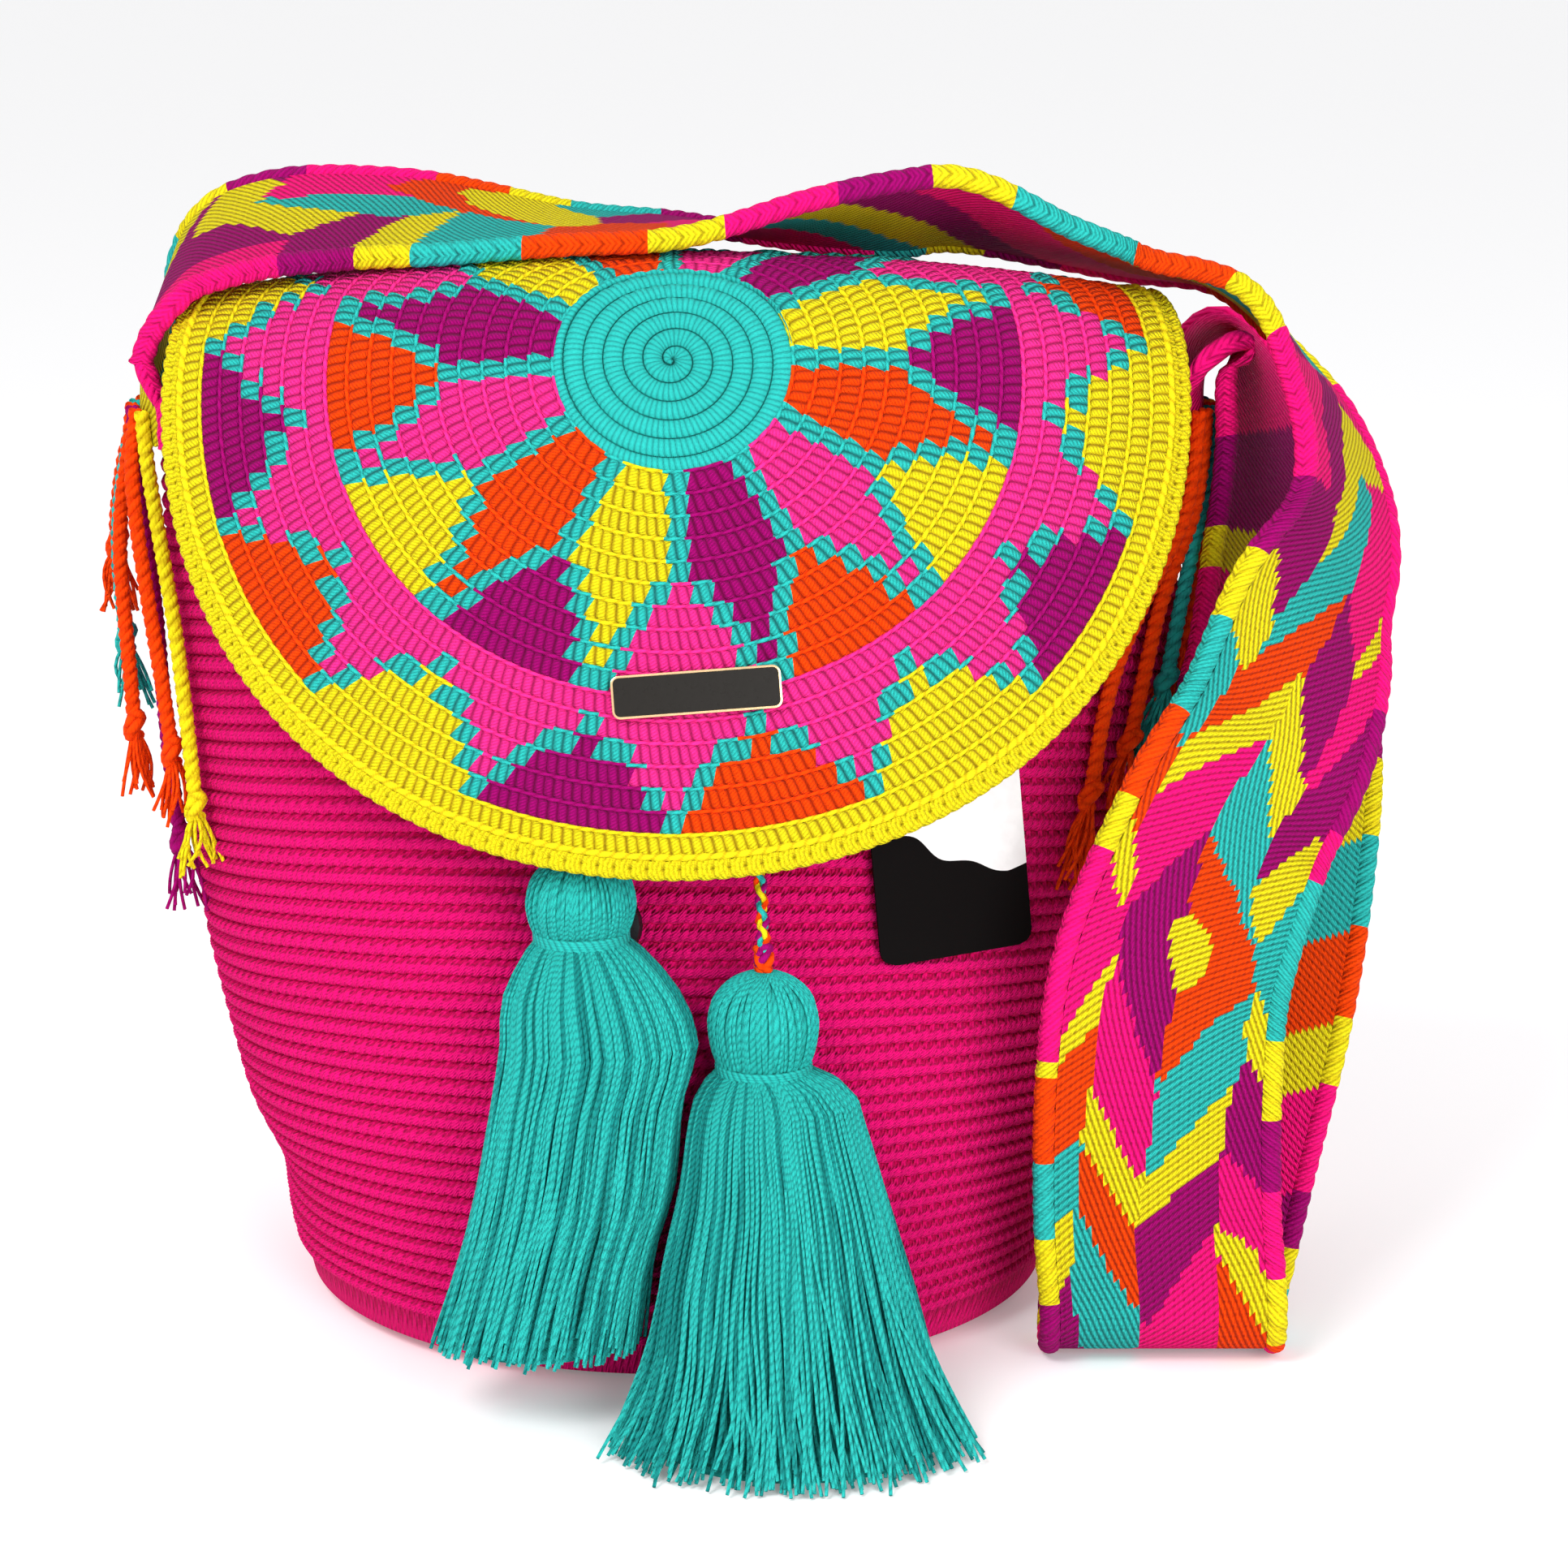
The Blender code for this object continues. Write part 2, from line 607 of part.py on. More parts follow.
def strap_rings():
    route = strap_route()
    centres = smooth_path([base + Vector(offset) for base, offset, _, _ in route], STRAP_STEPS)
    edges = smooth_path([edge for _, _, edge, _ in route], STRAP_STEPS)
    hugs = smooth_path([(hug, 0, 0) for _, _, _, hug in route], STRAP_STEPS)
    rings = []
    for index, centre in enumerate(centres):
        ahead = centres[min(index + 1, len(centres) - 1)] - centres[max(index - 1, 0)]
        ahead.normalize()
        edge = edges[index] - ahead * edges[index].dot(ahead)
        edge.normalize()
        outer = edge.cross(ahead)
        side = -1 if centre.x < 0 else 1
        hug = max(0.0, min(1.0, hugs[index].x))
        ring = []
        for across, out in strap_profile():
            point = centre + edge * across + outer * out
            if hug > 0:
                sewn = walk(side, across, centre.z, STRAP_ROLL + GAP + out)
                point = point.lerp(sewn, hug)
            ring.append(point)
        rings.append(ring)
    return rings


def make_strap(materials):
    """The band, with slanted fields of colour on the web and longer ones along the two rolls."""
    names = list(materials)
    front_roll, back_roll, web = range(0, 4), range(8, 12), range(12, 16)

    def slot_of(row, side):
        if side in front_roll:
            field = row // STRAP_FIELD
        elif side in back_roll:
            field = row // STRAP_FIELD + 2
        elif side in web:
            field = (row + side) // (STRAP_FIELD - 1)
        else:
            field = row // STRAP_FIELD + 1
        return names.index(STRAP_YARNS[field % len(STRAP_YARNS)])

    return loft("strap", strap_rings(), list(materials.values()), slot_of)


# Tassels

def tassel_ring(centre, half_width, half_depth, flute=0.0):
    """One ring round a tassel, with the yarn groups as shallow flutes."""
    ring = []
    for side in range(TASSEL_SIDES):
        angle = 2 * math.pi * side / TASSEL_SIDES
        size = 1 - flute if side % 2 else 1
        ring.append(centre + Vector((half_width * math.cos(angle), half_depth * math.sin(angle), 0)) * size)
    return ring


def tassel_neck(tassel):
    """The middle of the neck of a tassel whose head leans on the front of the wall, clear of the snap."""
    x, neck = tassel["x"], tassel["neck"]
    head = front_point(x, neck + tassel["lower"]).y - tassel["radius"] * HEAD_FLATTEN
    tie = front_point(x, neck).y - (NECK_RADIUS + GAP + TIE_WALL)
    return Vector((x, min(head, tie) - TASSEL_STAND_OFF, neck))


def tassel_top(tassel):
    rise = tassel["lower"] + tassel["upper"] * math.sin(HEAD_CROWN)
    return tassel_neck(tassel) + Vector((0, 0, rise))


def head_rings(tassel):
    """The head from its crown down to the neck."""
    neck = tassel_neck(tassel)
    radius, lower, upper = tassel["radius"], tassel["lower"], tassel["upper"]
    rows = []
    for share in (1.0, 0.85, 0.62, 0.33):
        angle = HEAD_CROWN * share
        rows.append((lower + upper * math.sin(angle), radius * math.cos(angle)))
    for share in (1.0, 0.62, 0.3):
        rows.append((lower * share, blend(NECK_RADIUS, radius, 1 - (1 - share) ** 2.2)))
    return [tassel_ring(neck + Vector((0, 0, rise)), wide, wide * HEAD_FLATTEN, FLUTE_DEPTH) for rise, wide in rows]


def make_tie(name, centre, yarn):
    """A flat ring of yarn turns round the neck."""
    inner = NECK_RADIUS + GAP
    outer = inner + TIE_WALL
    half = TIE_HEIGHT / 2
    bm = bmesh.new()
    corners = [(inner, half), (outer, half), (outer, -half), (inner, -half), (inner, half)]
    verts = [bm.verts.new((x, 0, z)) for x, z in corners[:-1]]
    for start, end in zip(verts, [*verts[1:], verts[0]]):
        bm.edges.new((start, end))
    mesh = bpy.data.meshes.new(name)
    bm.to_mesh(mesh)
    bm.free()
    tie = add_object(name, mesh, [yarn])
    tie.location = centre
    screw = tie.modifiers.new("turn", "SCREW")
    screw.steps = TASSEL_SIDES
    screw.render_steps = TASSEL_SIDES
    screw.use_merge_vertices = True
    screw.merge_threshold = 0.00001


def make_tassel(name, tassel, skirt, yarn):
    """A head, a straight neck and the skirt's rows of (middle, half width, half depth), in one bundle of yarn."""
    neck = tassel_neck(tassel)
    straight = Vector((0, 0, TIE_HEIGHT / 2 + GAP))
    rings = head_rings(tassel)
    rings.append(tassel_ring(neck + straight, NECK_RADIUS, NECK_RADIUS))
    rings.append(tassel_ring(neck - straight, NECK_RADIUS, NECK_RADIUS))
    for centre, half_width, half_depth in skirt:
        rings.append(tassel_ring(centre, half_width, half_depth, FLUTE_DEPTH))
    loft(name, rings, [yarn])
    make_tie(f"{name}_tie", neck, yarn)


def skirt_row(x, height, half_width, half_depth, off):
    """One row of a skirt, its back this far off the front of the wall."""
    wall = min(front_point(x + shift, max(height, BASE_CORNER)).y for shift in (-half_width / 2, 0, half_width / 2))
    return Vector((x, wall - off - half_depth, height)), half_width, half_depth


def make_tassels(yarn):
    make_tassel("tassel_left", LEFT_TASSEL, [
        skirt_row(-0.0195, 0.1085, 0.0160, 0.0125, 0.0040),
        skirt_row(-0.0178, 0.0990, 0.0222, 0.0150, 0.0024),
        skirt_row(-0.0162, 0.0880, 0.0242, 0.0165, 0.0012),
        skirt_row(-0.0190, 0.0760, 0.0235, 0.0170, 0.0012),
        skirt_row(-0.0222, 0.0546, 0.0242, 0.0175, 0.0012),
        skirt_row(-0.0262, 0.0400, 0.0236, 0.0180, 0.0012),
        skirt_row(-0.0312, 0.0184, 0.0252, 0.0185, 0.0012),
    ], yarn)
    make_tassel("tassel_right", RIGHT_TASSEL, [
        skirt_row(0.0267, 0.0775, 0.0185, 0.0145, 0.0035),
        skirt_row(0.0272, 0.0700, 0.0214, 0.0175, 0.0035),
        skirt_row(0.0286, 0.0551, 0.0250, 0.0205, 0.0030),
        skirt_row(0.0290, 0.0382, 0.0298, 0.0240, 0.0030),
        skirt_row(0.0303, 0.0211, 0.0342, 0.0270, 0.0030),
        skirt_row(0.0312, 0.0060, 0.0410, 0.0300, 0.0040),
        skirt_row(0.0312, 0.0, 0.0455, 0.0315, 0.0050),
    ], yarn)


# Drawstring

def hanging_end(top, mouth):
    """The free end, from straight over a tassel's top up the front of the wall to its eyelet."""
    start = top + Vector((0, 0, GAP))
    rest = []
    for share in (0.30, 0.50, 0.70, 0.88):
        x = blend(top.x, mouth.x, share)
        height = blend(top.z, mouth.z, share)
        wall = front_point(x, height, -(CORD_RADIUS + CORD_LIFT))
        forward = blend(top.y, wall.y, min(1.0, share * 1.7))
        rest.append(Vector((x, min(wall.y, forward), height)))
    return even_path([start, start + Vector((0, 0, 0.007)), *rest, mouth], CORD_SPACING)


def make_drawstring(material):
    """In at every odd eyelet and out at every even one, from the left tassel round the back to the right tassel."""
    outside = -(CORD_RADIUS + CORD_LIFT)
    inside = WALL + ROW_RIDGE + CORD_RADIUS + CORD_LIFT
    turns = eyelet_angles()
    path = []
    for number, angle in enumerate(turns):
        along = Vector((0, 0, 1)).cross(wall_normal(angle, EYELET_SHARE))
        first, last = (outside, inside) if number % 2 == 0 else (inside, outside)
        for shift, depth in ((0.0080, 0.0), (0.0030, 0.09), (-0.0030, 0.91), (-0.0080, 1.0)):
            path.append(wall_point(angle, EYELET_SHARE, blend(first, last, depth)) + along * shift)
        if number < EYELETS - 1:
            path.append(wall_point(blend(angle, turns[number + 1], 0.5), EYELET_SHARE, last))
    start = hanging_end(tassel_top(LEFT_TASSEL), path[0])
    end = hanging_end(tassel_top(RIGHT_TASSEL), path[-1])
    tube("drawstring", [*start, *path[1:-1], *reversed(end)], CORD_RADIUS, material)


# Fringe

def make_fringe(name, side, start, route, material):
    """A twisted cord from the strap's outer face that hangs by the wall and ends in a knot and a short tuft."""
    face = FRINGE_LIFT + STRAP_ROLL + STRAP_HALF_WALL + FRINGE_RADIUS
    points = [walk(side, start, RIM_SIDE + rise, face) for rise in (-0.0015, -0.0080)]
    points += [walk(side, arc, RIM_SIDE - drop, off) for arc, drop, off in route]
    path = even_path(points, FRINGE_SPACING)
    swells = [1.0] * len(path)
    tip = path[-1] - path[-2]
    path[-1:] = [path[-1] - tip.normalized() * 0.010, path[-1] - tip.normalized() * 0.006, path[-1]]
    swells[-1:] = [1.0, KNOT_SWELL, TUFT_SWELL]
    tube(name, path, FRINGE_RADIUS, material, swells)


LEFT_FRINGE = (
    ("yellow", 0.0210, ((0.0232, 0.018, 0.0064), (0.0245, 0.034, 0.0050), (0.0290, 0.055, 0.0045),
                        (0.0320, 0.085, 0.0040), (0.0330, 0.111, 0.0040))),
    ("orange", 0.0170, ((0.0190, 0.018, 0.0095), (0.0215, 0.042, 0.0085), (0.0240, 0.072, 0.0062),
                        (0.0250, 0.098, 0.0050))),
    ("purple", 0.0125, ((0.0138, 0.018, 0.0064), (0.0158, 0.050, 0.0042), (0.0175, 0.090, 0.0040),
                        (0.0185, 0.123, 0.0040))),
    ("orange", 0.0080, ((0.0085, 0.018, 0.0094), (0.0098, 0.038, 0.0118), (0.0105, 0.066, 0.0115),
                        (0.0110, 0.094, 0.0118))),
    ("teal", 0.0035, ((0.0042, 0.018, 0.0105), (0.0052, 0.040, 0.0130), (0.0056, 0.072, 0.0122))),
    ("orange", -0.0010, ((-0.0006, 0.016, 0.0125), (0.0000, 0.030, 0.0150), (0.0002, 0.048, 0.0158))),
)

RIGHT_FRINGE = (
    ("orange", 0.0210, ((0.0240, 0.018, 0.0070), (0.0275, 0.028, 0.0072), (0.0400, 0.048, 0.0060),
                        (0.0500, 0.070, 0.0055), (0.0560, 0.104, 0.0050))),
    ("orange", 0.0165, ((0.0192, 0.018, 0.0070), (0.0222, 0.028, 0.0066), (0.0335, 0.048, 0.0060),
                        (0.0400, 0.070, 0.0060), (0.0445, 0.092, 0.0050))),
    ("teal", 0.0120, ((0.0144, 0.018, 0.0068), (0.0176, 0.030, 0.0062), (0.0265, 0.052, 0.0062),
                      (0.0320, 0.078, 0.0055))),
    ("orange", 0.0075, ((0.0096, 0.018, 0.0068), (0.0130, 0.032, 0.0060), (0.0200, 0.050, 0.0060),
                        (0.0235, 0.066, 0.0060))),
    ("yellow", 0.0030, ((0.0050, 0.018, 0.0070), (0.0086, 0.034, 0.0062), (0.0140, 0.054, 0.0060),
                        (0.0160, 0.074, 0.0055))),
    ("teal", -0.0015, ((0.0004, 0.018, 0.0070), (0.0038, 0.034, 0.0062), (0.0080, 0.064, 0.0055))),
    ("purple", -0.0060, ((-0.0046, 0.018, 0.0070), (-0.0012, 0.034, 0.0062), (0.0010, 0.058, 0.0055))),
)


def make_fringes(yarns):
    for side, place, cords in ((-1, "left", LEFT_FRINGE), (1, "right", RIGHT_FRINGE)):
        for number, (colour, start, route) in enumerate(cords, 1):
            make_fringe(f"fringe_{place}_{number}", side, start, route, yarns[colour])


# Trims

def make_plate(black, brass):
    """A bare plate with a bright rim, riveted flat on the flap's outer face."""
    normal = flap_normal(PLATE_ACROSS, PLATE_ALONG)
    point = flap_surface(PLATE_ACROSS, PLATE_ALONG) + normal * (PLATE_THICKNESS / 2 + GAP)
    plate = rounded_plate("name_plate", PLATE_WIDTH, PLATE_HEIGHT, PLATE_THICKNESS, PLATE_CORNER, [brass, black])
    for polygon in plate.data.polygons:
        polygon.material_index = 1 if abs(polygon.normal.z) > 0.5 else 0
    plate.matrix_world = facing(point, normal, PLATE_TILT)


def front_normal(x, height):
    step = 0.002
    across = front_point(x + step, height) - front_point(x - step, height)
    up = front_point(x, height + step) - front_point(x, height - step)
    return across.cross(up).normalized()


def make_tag(black, white):
    """A card tag that hangs flat against the wall, dark below and pale above."""
    low = front_point(TAG_X, TAG_BOTTOM)
    high = front_point(TAG_X, TAG_BOTTOM + TAG_HEIGHT)
    across = front_point(TAG_X + TAG_CORNER, TAG_BOTTOM) - front_point(TAG_X - TAG_CORNER, TAG_BOTTOM)
    normal = across.cross(high - low).normalized()
    point = (low + high) / 2 + normal * (TAG_THICKNESS / 2 + TAG_GAP)
    tag = rounded_plate("hang_tag", TAG_WIDTH, TAG_HEIGHT, TAG_THICKNESS, TAG_CORNER, [black, white])
    bm = bmesh.new()
    bm.from_mesh(tag.data)
    level = TAG_HEIGHT * (0.5 - TAG_PALE_SHARE)
    geometry = [*bm.verts, *bm.edges, *bm.faces]
    bmesh.ops.bisect_plane(bm, geom=geometry, plane_co=(0, level, 0), plane_no=(0, 1, 0))
    for face in bm.faces:
        face.material_index = 1 if face.calc_center_median().y > level else 0
    bm.to_mesh(tag.data)
    bm.free()
    tag.matrix_world = facing(point, normal, TAG_TILT)


def make_snap_half(name, point, normal, post, materials):
    """A round snap half, its back at the point. The post is the height of its middle over its face."""
    bm = bmesh.new()
    bmesh.ops.create_cone(
        bm, cap_ends=True, segments=20, radius1=SNAP_RADIUS, radius2=SNAP_RADIUS * 0.92, depth=SNAP_THICKNESS
    )
    bm.faces.ensure_lookup_table()
    face = max(bm.faces, key=lambda item: item.calc_center_median().z)
    bmesh.ops.inset_region(bm, faces=[face], thickness=SNAP_RADIUS * 0.92 - SNAP_POST_RADIUS)
    raised = bmesh.ops.extrude_discrete_faces(bm, faces=[face])["faces"][0]
    bmesh.ops.translate(bm, verts=raised.verts, vec=(0, 0, post))
    mesh = bpy.data.meshes.new(name)
    bm.to_mesh(mesh)
    bm.free()
    half = add_object(name, mesh, materials, smooth_angle=30)
    half.matrix_world = facing(point + normal * (SNAP_THICKNESS / 2 + GAP), normal)


def make_snap(materials):
    """The half with the hollow is on the wall, and the half with the post is under the flap."""
    normal = front_normal(SNAP_X, SNAP_HEIGHT)
    make_snap_half("snap_body", front_point(SNAP_X, SNAP_HEIGHT), normal, -SNAP_POST_HEIGHT, materials)
    normal = flap_normal(SNAP_X, SNAP_ALONG)
    under = flap_surface(SNAP_X, SNAP_ALONG) - normal * FLAP_WALL
    make_snap_half("snap_flap", under, -normal, SNAP_POST_HEIGHT, materials)


def main():
    yarns = {name: make_material(f"{name} yarn", name) for name in YARNS}
    black = make_material("black", "black", roughness=0.45)
    white = make_material("white card", "white", roughness=0.6)
    brass = make_material("brass", "brass", roughness=0.25, metallic=1.0)
    make_body(yarns["pink"])
    make_flap({name: yarns[name] for name in ("teal", "yellow", "orange", "pink", "purple", "light pink")})
    make_strap({name: yarns[name] for name in STRAP_YARNS})
    make_tassels(yarns["teal"])
    make_drawstring(yarns["orange"])
    make_fringes(yarns)
    make_plate(black, brass)
    make_tag(black, white)
    make_snap([black])


clear_scene()
PARTS = new_collection("mochila_bag")
CUTTERS = new_collection("cutters", hidden=True)
main()
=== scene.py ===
"""The looks of a crocheted shoulder bag: its camera, lights, yarns, stitches, weave, cords and tassels.

The front faces -Y and up is +Z. Sizes are in metres, in the frame of the solids that the pieces replace.
Tables whose name ends in _MM are in millimetres.
"""

import json
import math
import random

import bmesh
import bpy
from mathutils import Matrix, Vector, noise

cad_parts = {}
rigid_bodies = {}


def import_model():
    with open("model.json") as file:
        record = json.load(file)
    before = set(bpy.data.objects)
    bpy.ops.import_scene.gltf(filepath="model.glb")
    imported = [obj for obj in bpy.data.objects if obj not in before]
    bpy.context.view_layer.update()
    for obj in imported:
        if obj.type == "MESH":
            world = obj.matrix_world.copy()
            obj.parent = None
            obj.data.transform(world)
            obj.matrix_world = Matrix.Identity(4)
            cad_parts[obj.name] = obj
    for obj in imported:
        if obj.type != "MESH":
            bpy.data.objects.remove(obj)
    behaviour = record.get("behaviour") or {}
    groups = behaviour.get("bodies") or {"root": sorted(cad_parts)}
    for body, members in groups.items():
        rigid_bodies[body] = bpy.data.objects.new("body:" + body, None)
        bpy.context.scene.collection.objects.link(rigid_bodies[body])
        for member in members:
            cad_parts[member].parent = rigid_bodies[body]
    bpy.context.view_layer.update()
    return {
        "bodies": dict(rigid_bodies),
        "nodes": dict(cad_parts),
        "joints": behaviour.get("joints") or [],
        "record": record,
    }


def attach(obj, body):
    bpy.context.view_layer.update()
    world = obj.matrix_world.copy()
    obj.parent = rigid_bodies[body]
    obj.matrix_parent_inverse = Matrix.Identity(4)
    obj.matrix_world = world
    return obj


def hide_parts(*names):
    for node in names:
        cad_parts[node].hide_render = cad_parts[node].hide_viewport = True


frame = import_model()

MM = 0.001
GAP = 0.0003
QUARTER = math.pi / 2
CIRCLE = 2 * math.pi

# Camera, light and floor
CAMERA = Vector((0.029, -1.05, 0.38))
AIM_HEIGHT = 0.131
FRAME_PIXELS = 1932
FOCAL_PIXELS = 5018
SENSOR = 36.0
LAMP_AIM = Vector((0, 0, 0.12))
LAMPS = (("key", (-0.8, -1.3, 1.5), 0.9, 22), ("fill", (0.8, -1.7, 0.6), 1.1, 21))
WORLD_LEVEL = 0.80
FLOOR_SIZE = 40.0
FLOOR_GLOW = 0.16

# Body
BASE_RADIUS = 0.090
BASE_CORNER = 0.012
WALL = 0.004
MOUTH_HALF_WIDTH = 0.1325
MOUTH_HALF_DEPTH = 0.060
RIM_FRONT = 0.253
RIM_SIDE = 0.234
WIDTH_EASE = 2.75
DEPTH_EASE = 2.2
ROW_RIDGE = 0.0009
ROWS = 53
ROW_GROWTH = 0.15
ROW_SECTION = ((0.0, 0.0016), (0.20, -0.0001), (0.50, -0.0005), (0.80, 0.0001))
BODY_STITCHES = 180
BODY_COLUMNS = 2 * BODY_STITCHES
GROOVE_STEP = 0.0006
GROOVE_DEPTH = 0.0004
UNEVEN = 0.0007
UNEVEN_SCALE = 38
RIM_INSET = 0.0006
RIM_RISE = 0.0014
BASE_ROUNDS = 22
BASE_LOW = 0.0002
BASE_HIGH = 0.0010
INSIDE = WALL + ROW_RIDGE
INSIDE_ROWS = 60
INSIDE_RIDGE = 0.0006
FOLD_DEPTH = 0.0035
FOLD_ANGLE = math.radians(192)
FOLD_WIDTH = 0.4
FOLD_HEIGHT = 0.034
FOLD_REACH = 0.011
EYELETS = 12
EYELET_SHARE = 0.885

# Flap
CORE_ROUNDS = 6
CORE_PITCH = 0.0049
CORE_TURNS = CORE_ROUNDS + 0.96
CORE_STITCH = 0.0047
ROUNDS = 24
ROUND_PITCH = 0.0058
FLAP_START = 7.0
FLAP_WALL = 0.0042
FLAP_BEND = 0.037
FLAP_SEAT_ANGLE = math.radians(29)
FLAP_SEAT_GAP = 0.0008
FLAP_SHIFT = 0.002
FLAP_LEAN_TOP = math.radians(24)
FLAP_LEAN_TIP = math.radians(11)
FLAP_CURVE = 0.30
FLAP_DROOP = 0.75
FLAP_SETTLE = 0.95
FLAP_STRETCH = 1.12
FLAP_FALL = 0.45
FLAP_RADIUS = CORE_ROUNDS * CORE_PITCH + (ROUNDS - CORE_ROUNDS) * ROUND_PITCH
BEND_LENGTH = FLAP_BEND * (QUARTER - FLAP_LEAN_TOP)
STITCH = 0.0050
STITCH_SEGMENTS = 4
STITCH_SECTION = 8
STITCH_THICKNESS = 0.0017
STITCH_SLANT = 0.17
TEAL_PUFF = 0.0006
ROPE_SIDES = 6
ROPE_SPACING = 0.0025
ROPE_RADIUS = 0.00056
ROPE_DEPTH = 0.0008
RIM_STITCH = 0.0040
GROUND_COLUMNS = 216
GROUND_DEPTH = 0.0013
GROUND_RIDGE = 0.0006
PETALS = 12
PETAL_START = 88
PETAL_FULL_ROUND = 11
PETAL_LAST_ROUND = 16
EDGE_TRIANGLES = 15
EDGE_TIP = 77.8
EDGE_FIRST_ROUND = 18
EDGE_LAST_ROUND = 22
PETAL_COLOURS = ("yellow", "orange", "light pink", "purple")
BETWEEN_COLOURS = ("light pink", "purple", "yellow", "orange")
EDGE_COLOURS = ("orange", "purple", "yellow") * 3 + ("orange", "purple", "orange", "yellow", "purple", "yellow")

# Strap
STRAP_HALF_WIDTH = 0.0315
STRAP_HALF_WALL = 0.0017
STRAP_ROLL = 0.0031
STRAP_SETBACK = 0.006
STRAP_LAP = 0.010
STRAP_STEPS = 12
FRAME_STEP = 0.0010
WEB_COLUMNS = 34
THREAD_SLOPE = 0.7
STEEP_SLOPE = -2.7
THREAD_PITCH = 0.0018
STEEP_PITCH = 0.0042
THREAD_TWIST = 0.0030
PLAIT = 0.0046
PLAIT_LEAN = 1.1

# Cords
CORD_RADIUS = 0.0018
CORD_LIFT = 0.0016
CORD_SPACING = 0.010
CORD_POINTS = 0.004
DRAWSTRING_PLIES = ("orange", "yellow", "purple", "teal")
DRAWSTRING_STEP = 0.0014
BRAID_PITCH = 0.0088
BRAID_STRAND = 0.00076
FRINGE_RADIUS = 0.0018
FRINGE_SPACING = 0.014
FRINGE_LIFT = 0.0004
FRINGE_STEP = 0.0012
FRINGE_END = 0.0085
PLY_RADIUS = 0.00108
PLY_HELIX = 0.00106
PLY_PITCH = 0.0085
TUFT_STRAND = 0.00050
LEFT_TUFT = (0.0185, 14, 0.0062)
RIGHT_TUFT = (0.0250, 20, 0.0085)

# Tassels
NECK_RADIUS = 0.0108
HEAD_FLATTEN = 0.92
HEAD_CROWN = math.radians(78)
HEAD_STRANDS = 118
TIE_WALL = 0.0010
TIE_HEIGHT = 0.0032
TIE_TURNS = 5
TIE_STRAND = 0.00052
TIE_STEPS = 28
SNAP_THICKNESS = 0.0016
TASSEL_STAND_OFF = SNAP_THICKNESS + 4 * GAP
STRAND = 0.00047
CORE_SIDES = 24
SKIRT_ROWS = 40
SKIRT_LAYERS = ((0.97, 0.44), (0.90, 0.32), (0.81, 0.24))
SKIRT_STEPS = 14
LEFT_TASSEL = {"x": -0.0207, "neck": 0.1130, "lower": 0.0090, "upper": 0.0122, "radius": 0.0136}
RIGHT_TASSEL = {"x": 0.0240, "neck": 0.0813, "lower": 0.0128, "upper": 0.0118, "radius": 0.0137}

# Trims
PLATE_WIDTH = 0.041
PLATE_HEIGHT = 0.0105
PLATE_THICKNESS = 0.0012
PLATE_CORNER = 0.002
PLATE_RIM = 0.00055
PLATE_SINK = 0.00022
PLATE_EDGE = 0.00014
PLATE_ACROSS = 0.006
PLATE_ALONG = -0.086
PLATE_TILT = math.radians(4)
TAG_WIDTH = 0.0420
TAG_HEIGHT = 0.076
TAG_THICKNESS = 0.0006
TAG_CORNER = 0.004
TAG_X = 0.0690
TAG_BOTTOM = 0.101
TAG_TILT = math.radians(3)
TAG_GAP = 0.0006
TAG_LEVEL = -0.072
TAG_COLUMNS, TAG_ROWS, TAG_DARK_ROWS = 40, 48, 28

YARNS = {
    "pink": (0.97, 0.006, 0.205),
    "light pink": (0.93, 0.030, 0.28),
    "teal": (0.026, 0.50, 0.45),
    # A darker copy of the teal yarn: painted shade for tassel strands.
    "deep teal": (0.010, 0.27, 0.25),
    "yellow": (0.85, 0.74, 0.010),
    "orange": (0.92, 0.060, 0.0012),
    "purple": (0.345, 0.0015, 0.145),
}
# Painted shade: the yarn's colour is multiplied by this in the grooves between strands.
GROOVE_SHADE = (0.50, 0.30, 0.34)
DYE_TINT = (0.8, 0.7, 0.75)
FIBRE_TINT = (0.45, 0.30, 0.38)


# Curves and places

def blend(low, high, share):
    return low + (high - low) * share


def clamped(value):
    return max(0.0, min(1.0, value))


def corner(index, sides):
    """The angle of a round section's corner. The last corner is the first again."""
    return CIRCLE * (index % sides) / sides


def circled(first, second, turn):
    """The way at this angle from the first of two directions to the second."""
    return first * math.cos(turn) + second * math.sin(turn)


def running_lengths(path):
    lengths = [0.0]
    for start, end in zip(path, path[1:]):
        lengths.append(lengths[-1] + (end - start).length)
    return lengths


def even_places(lengths, count):
    """Evenly spread places on the running lengths: a piece's index, the share of it and the length so far."""
    index = 0
    for step in range(count + 1):
        wanted = lengths[-1] * step / count
        while index < len(lengths) - 2 and lengths[index + 1] < wanted:
            index += 1
        yield index, (wanted - lengths[index]) / (lengths[index + 1] - lengths[index]), wanted


def smooth_path(points, steps):
    """A smooth curve through the points, with the same number of steps between each two."""
    points = [Vector(point) for point in points]
    padded = [2 * points[0] - points[1], *points, 2 * points[-1] - points[-2]]
    path = []
    for before, start, end, after in zip(padded, padded[1:], padded[2:], padded[3:]):
        for step in range(steps):
            t = step / steps
            path.append(0.5 * (2 * start + (end - before) * t
                               + (2 * before - 5 * start + 4 * end - after) * t * t
                               + (3 * start - before - 3 * end + after) * t ** 3))
    return [*path, points[-1]]


def even_path(points, spacing):
    """The smooth curve through the points, read off at even distances."""
    fine = smooth_path(points, 24)
    lengths = running_lengths(fine)
    count = max(2, round(lengths[-1] / spacing))
    return [fine[index].lerp(fine[index + 1], share) for index, share, _ in even_places(lengths, count)]


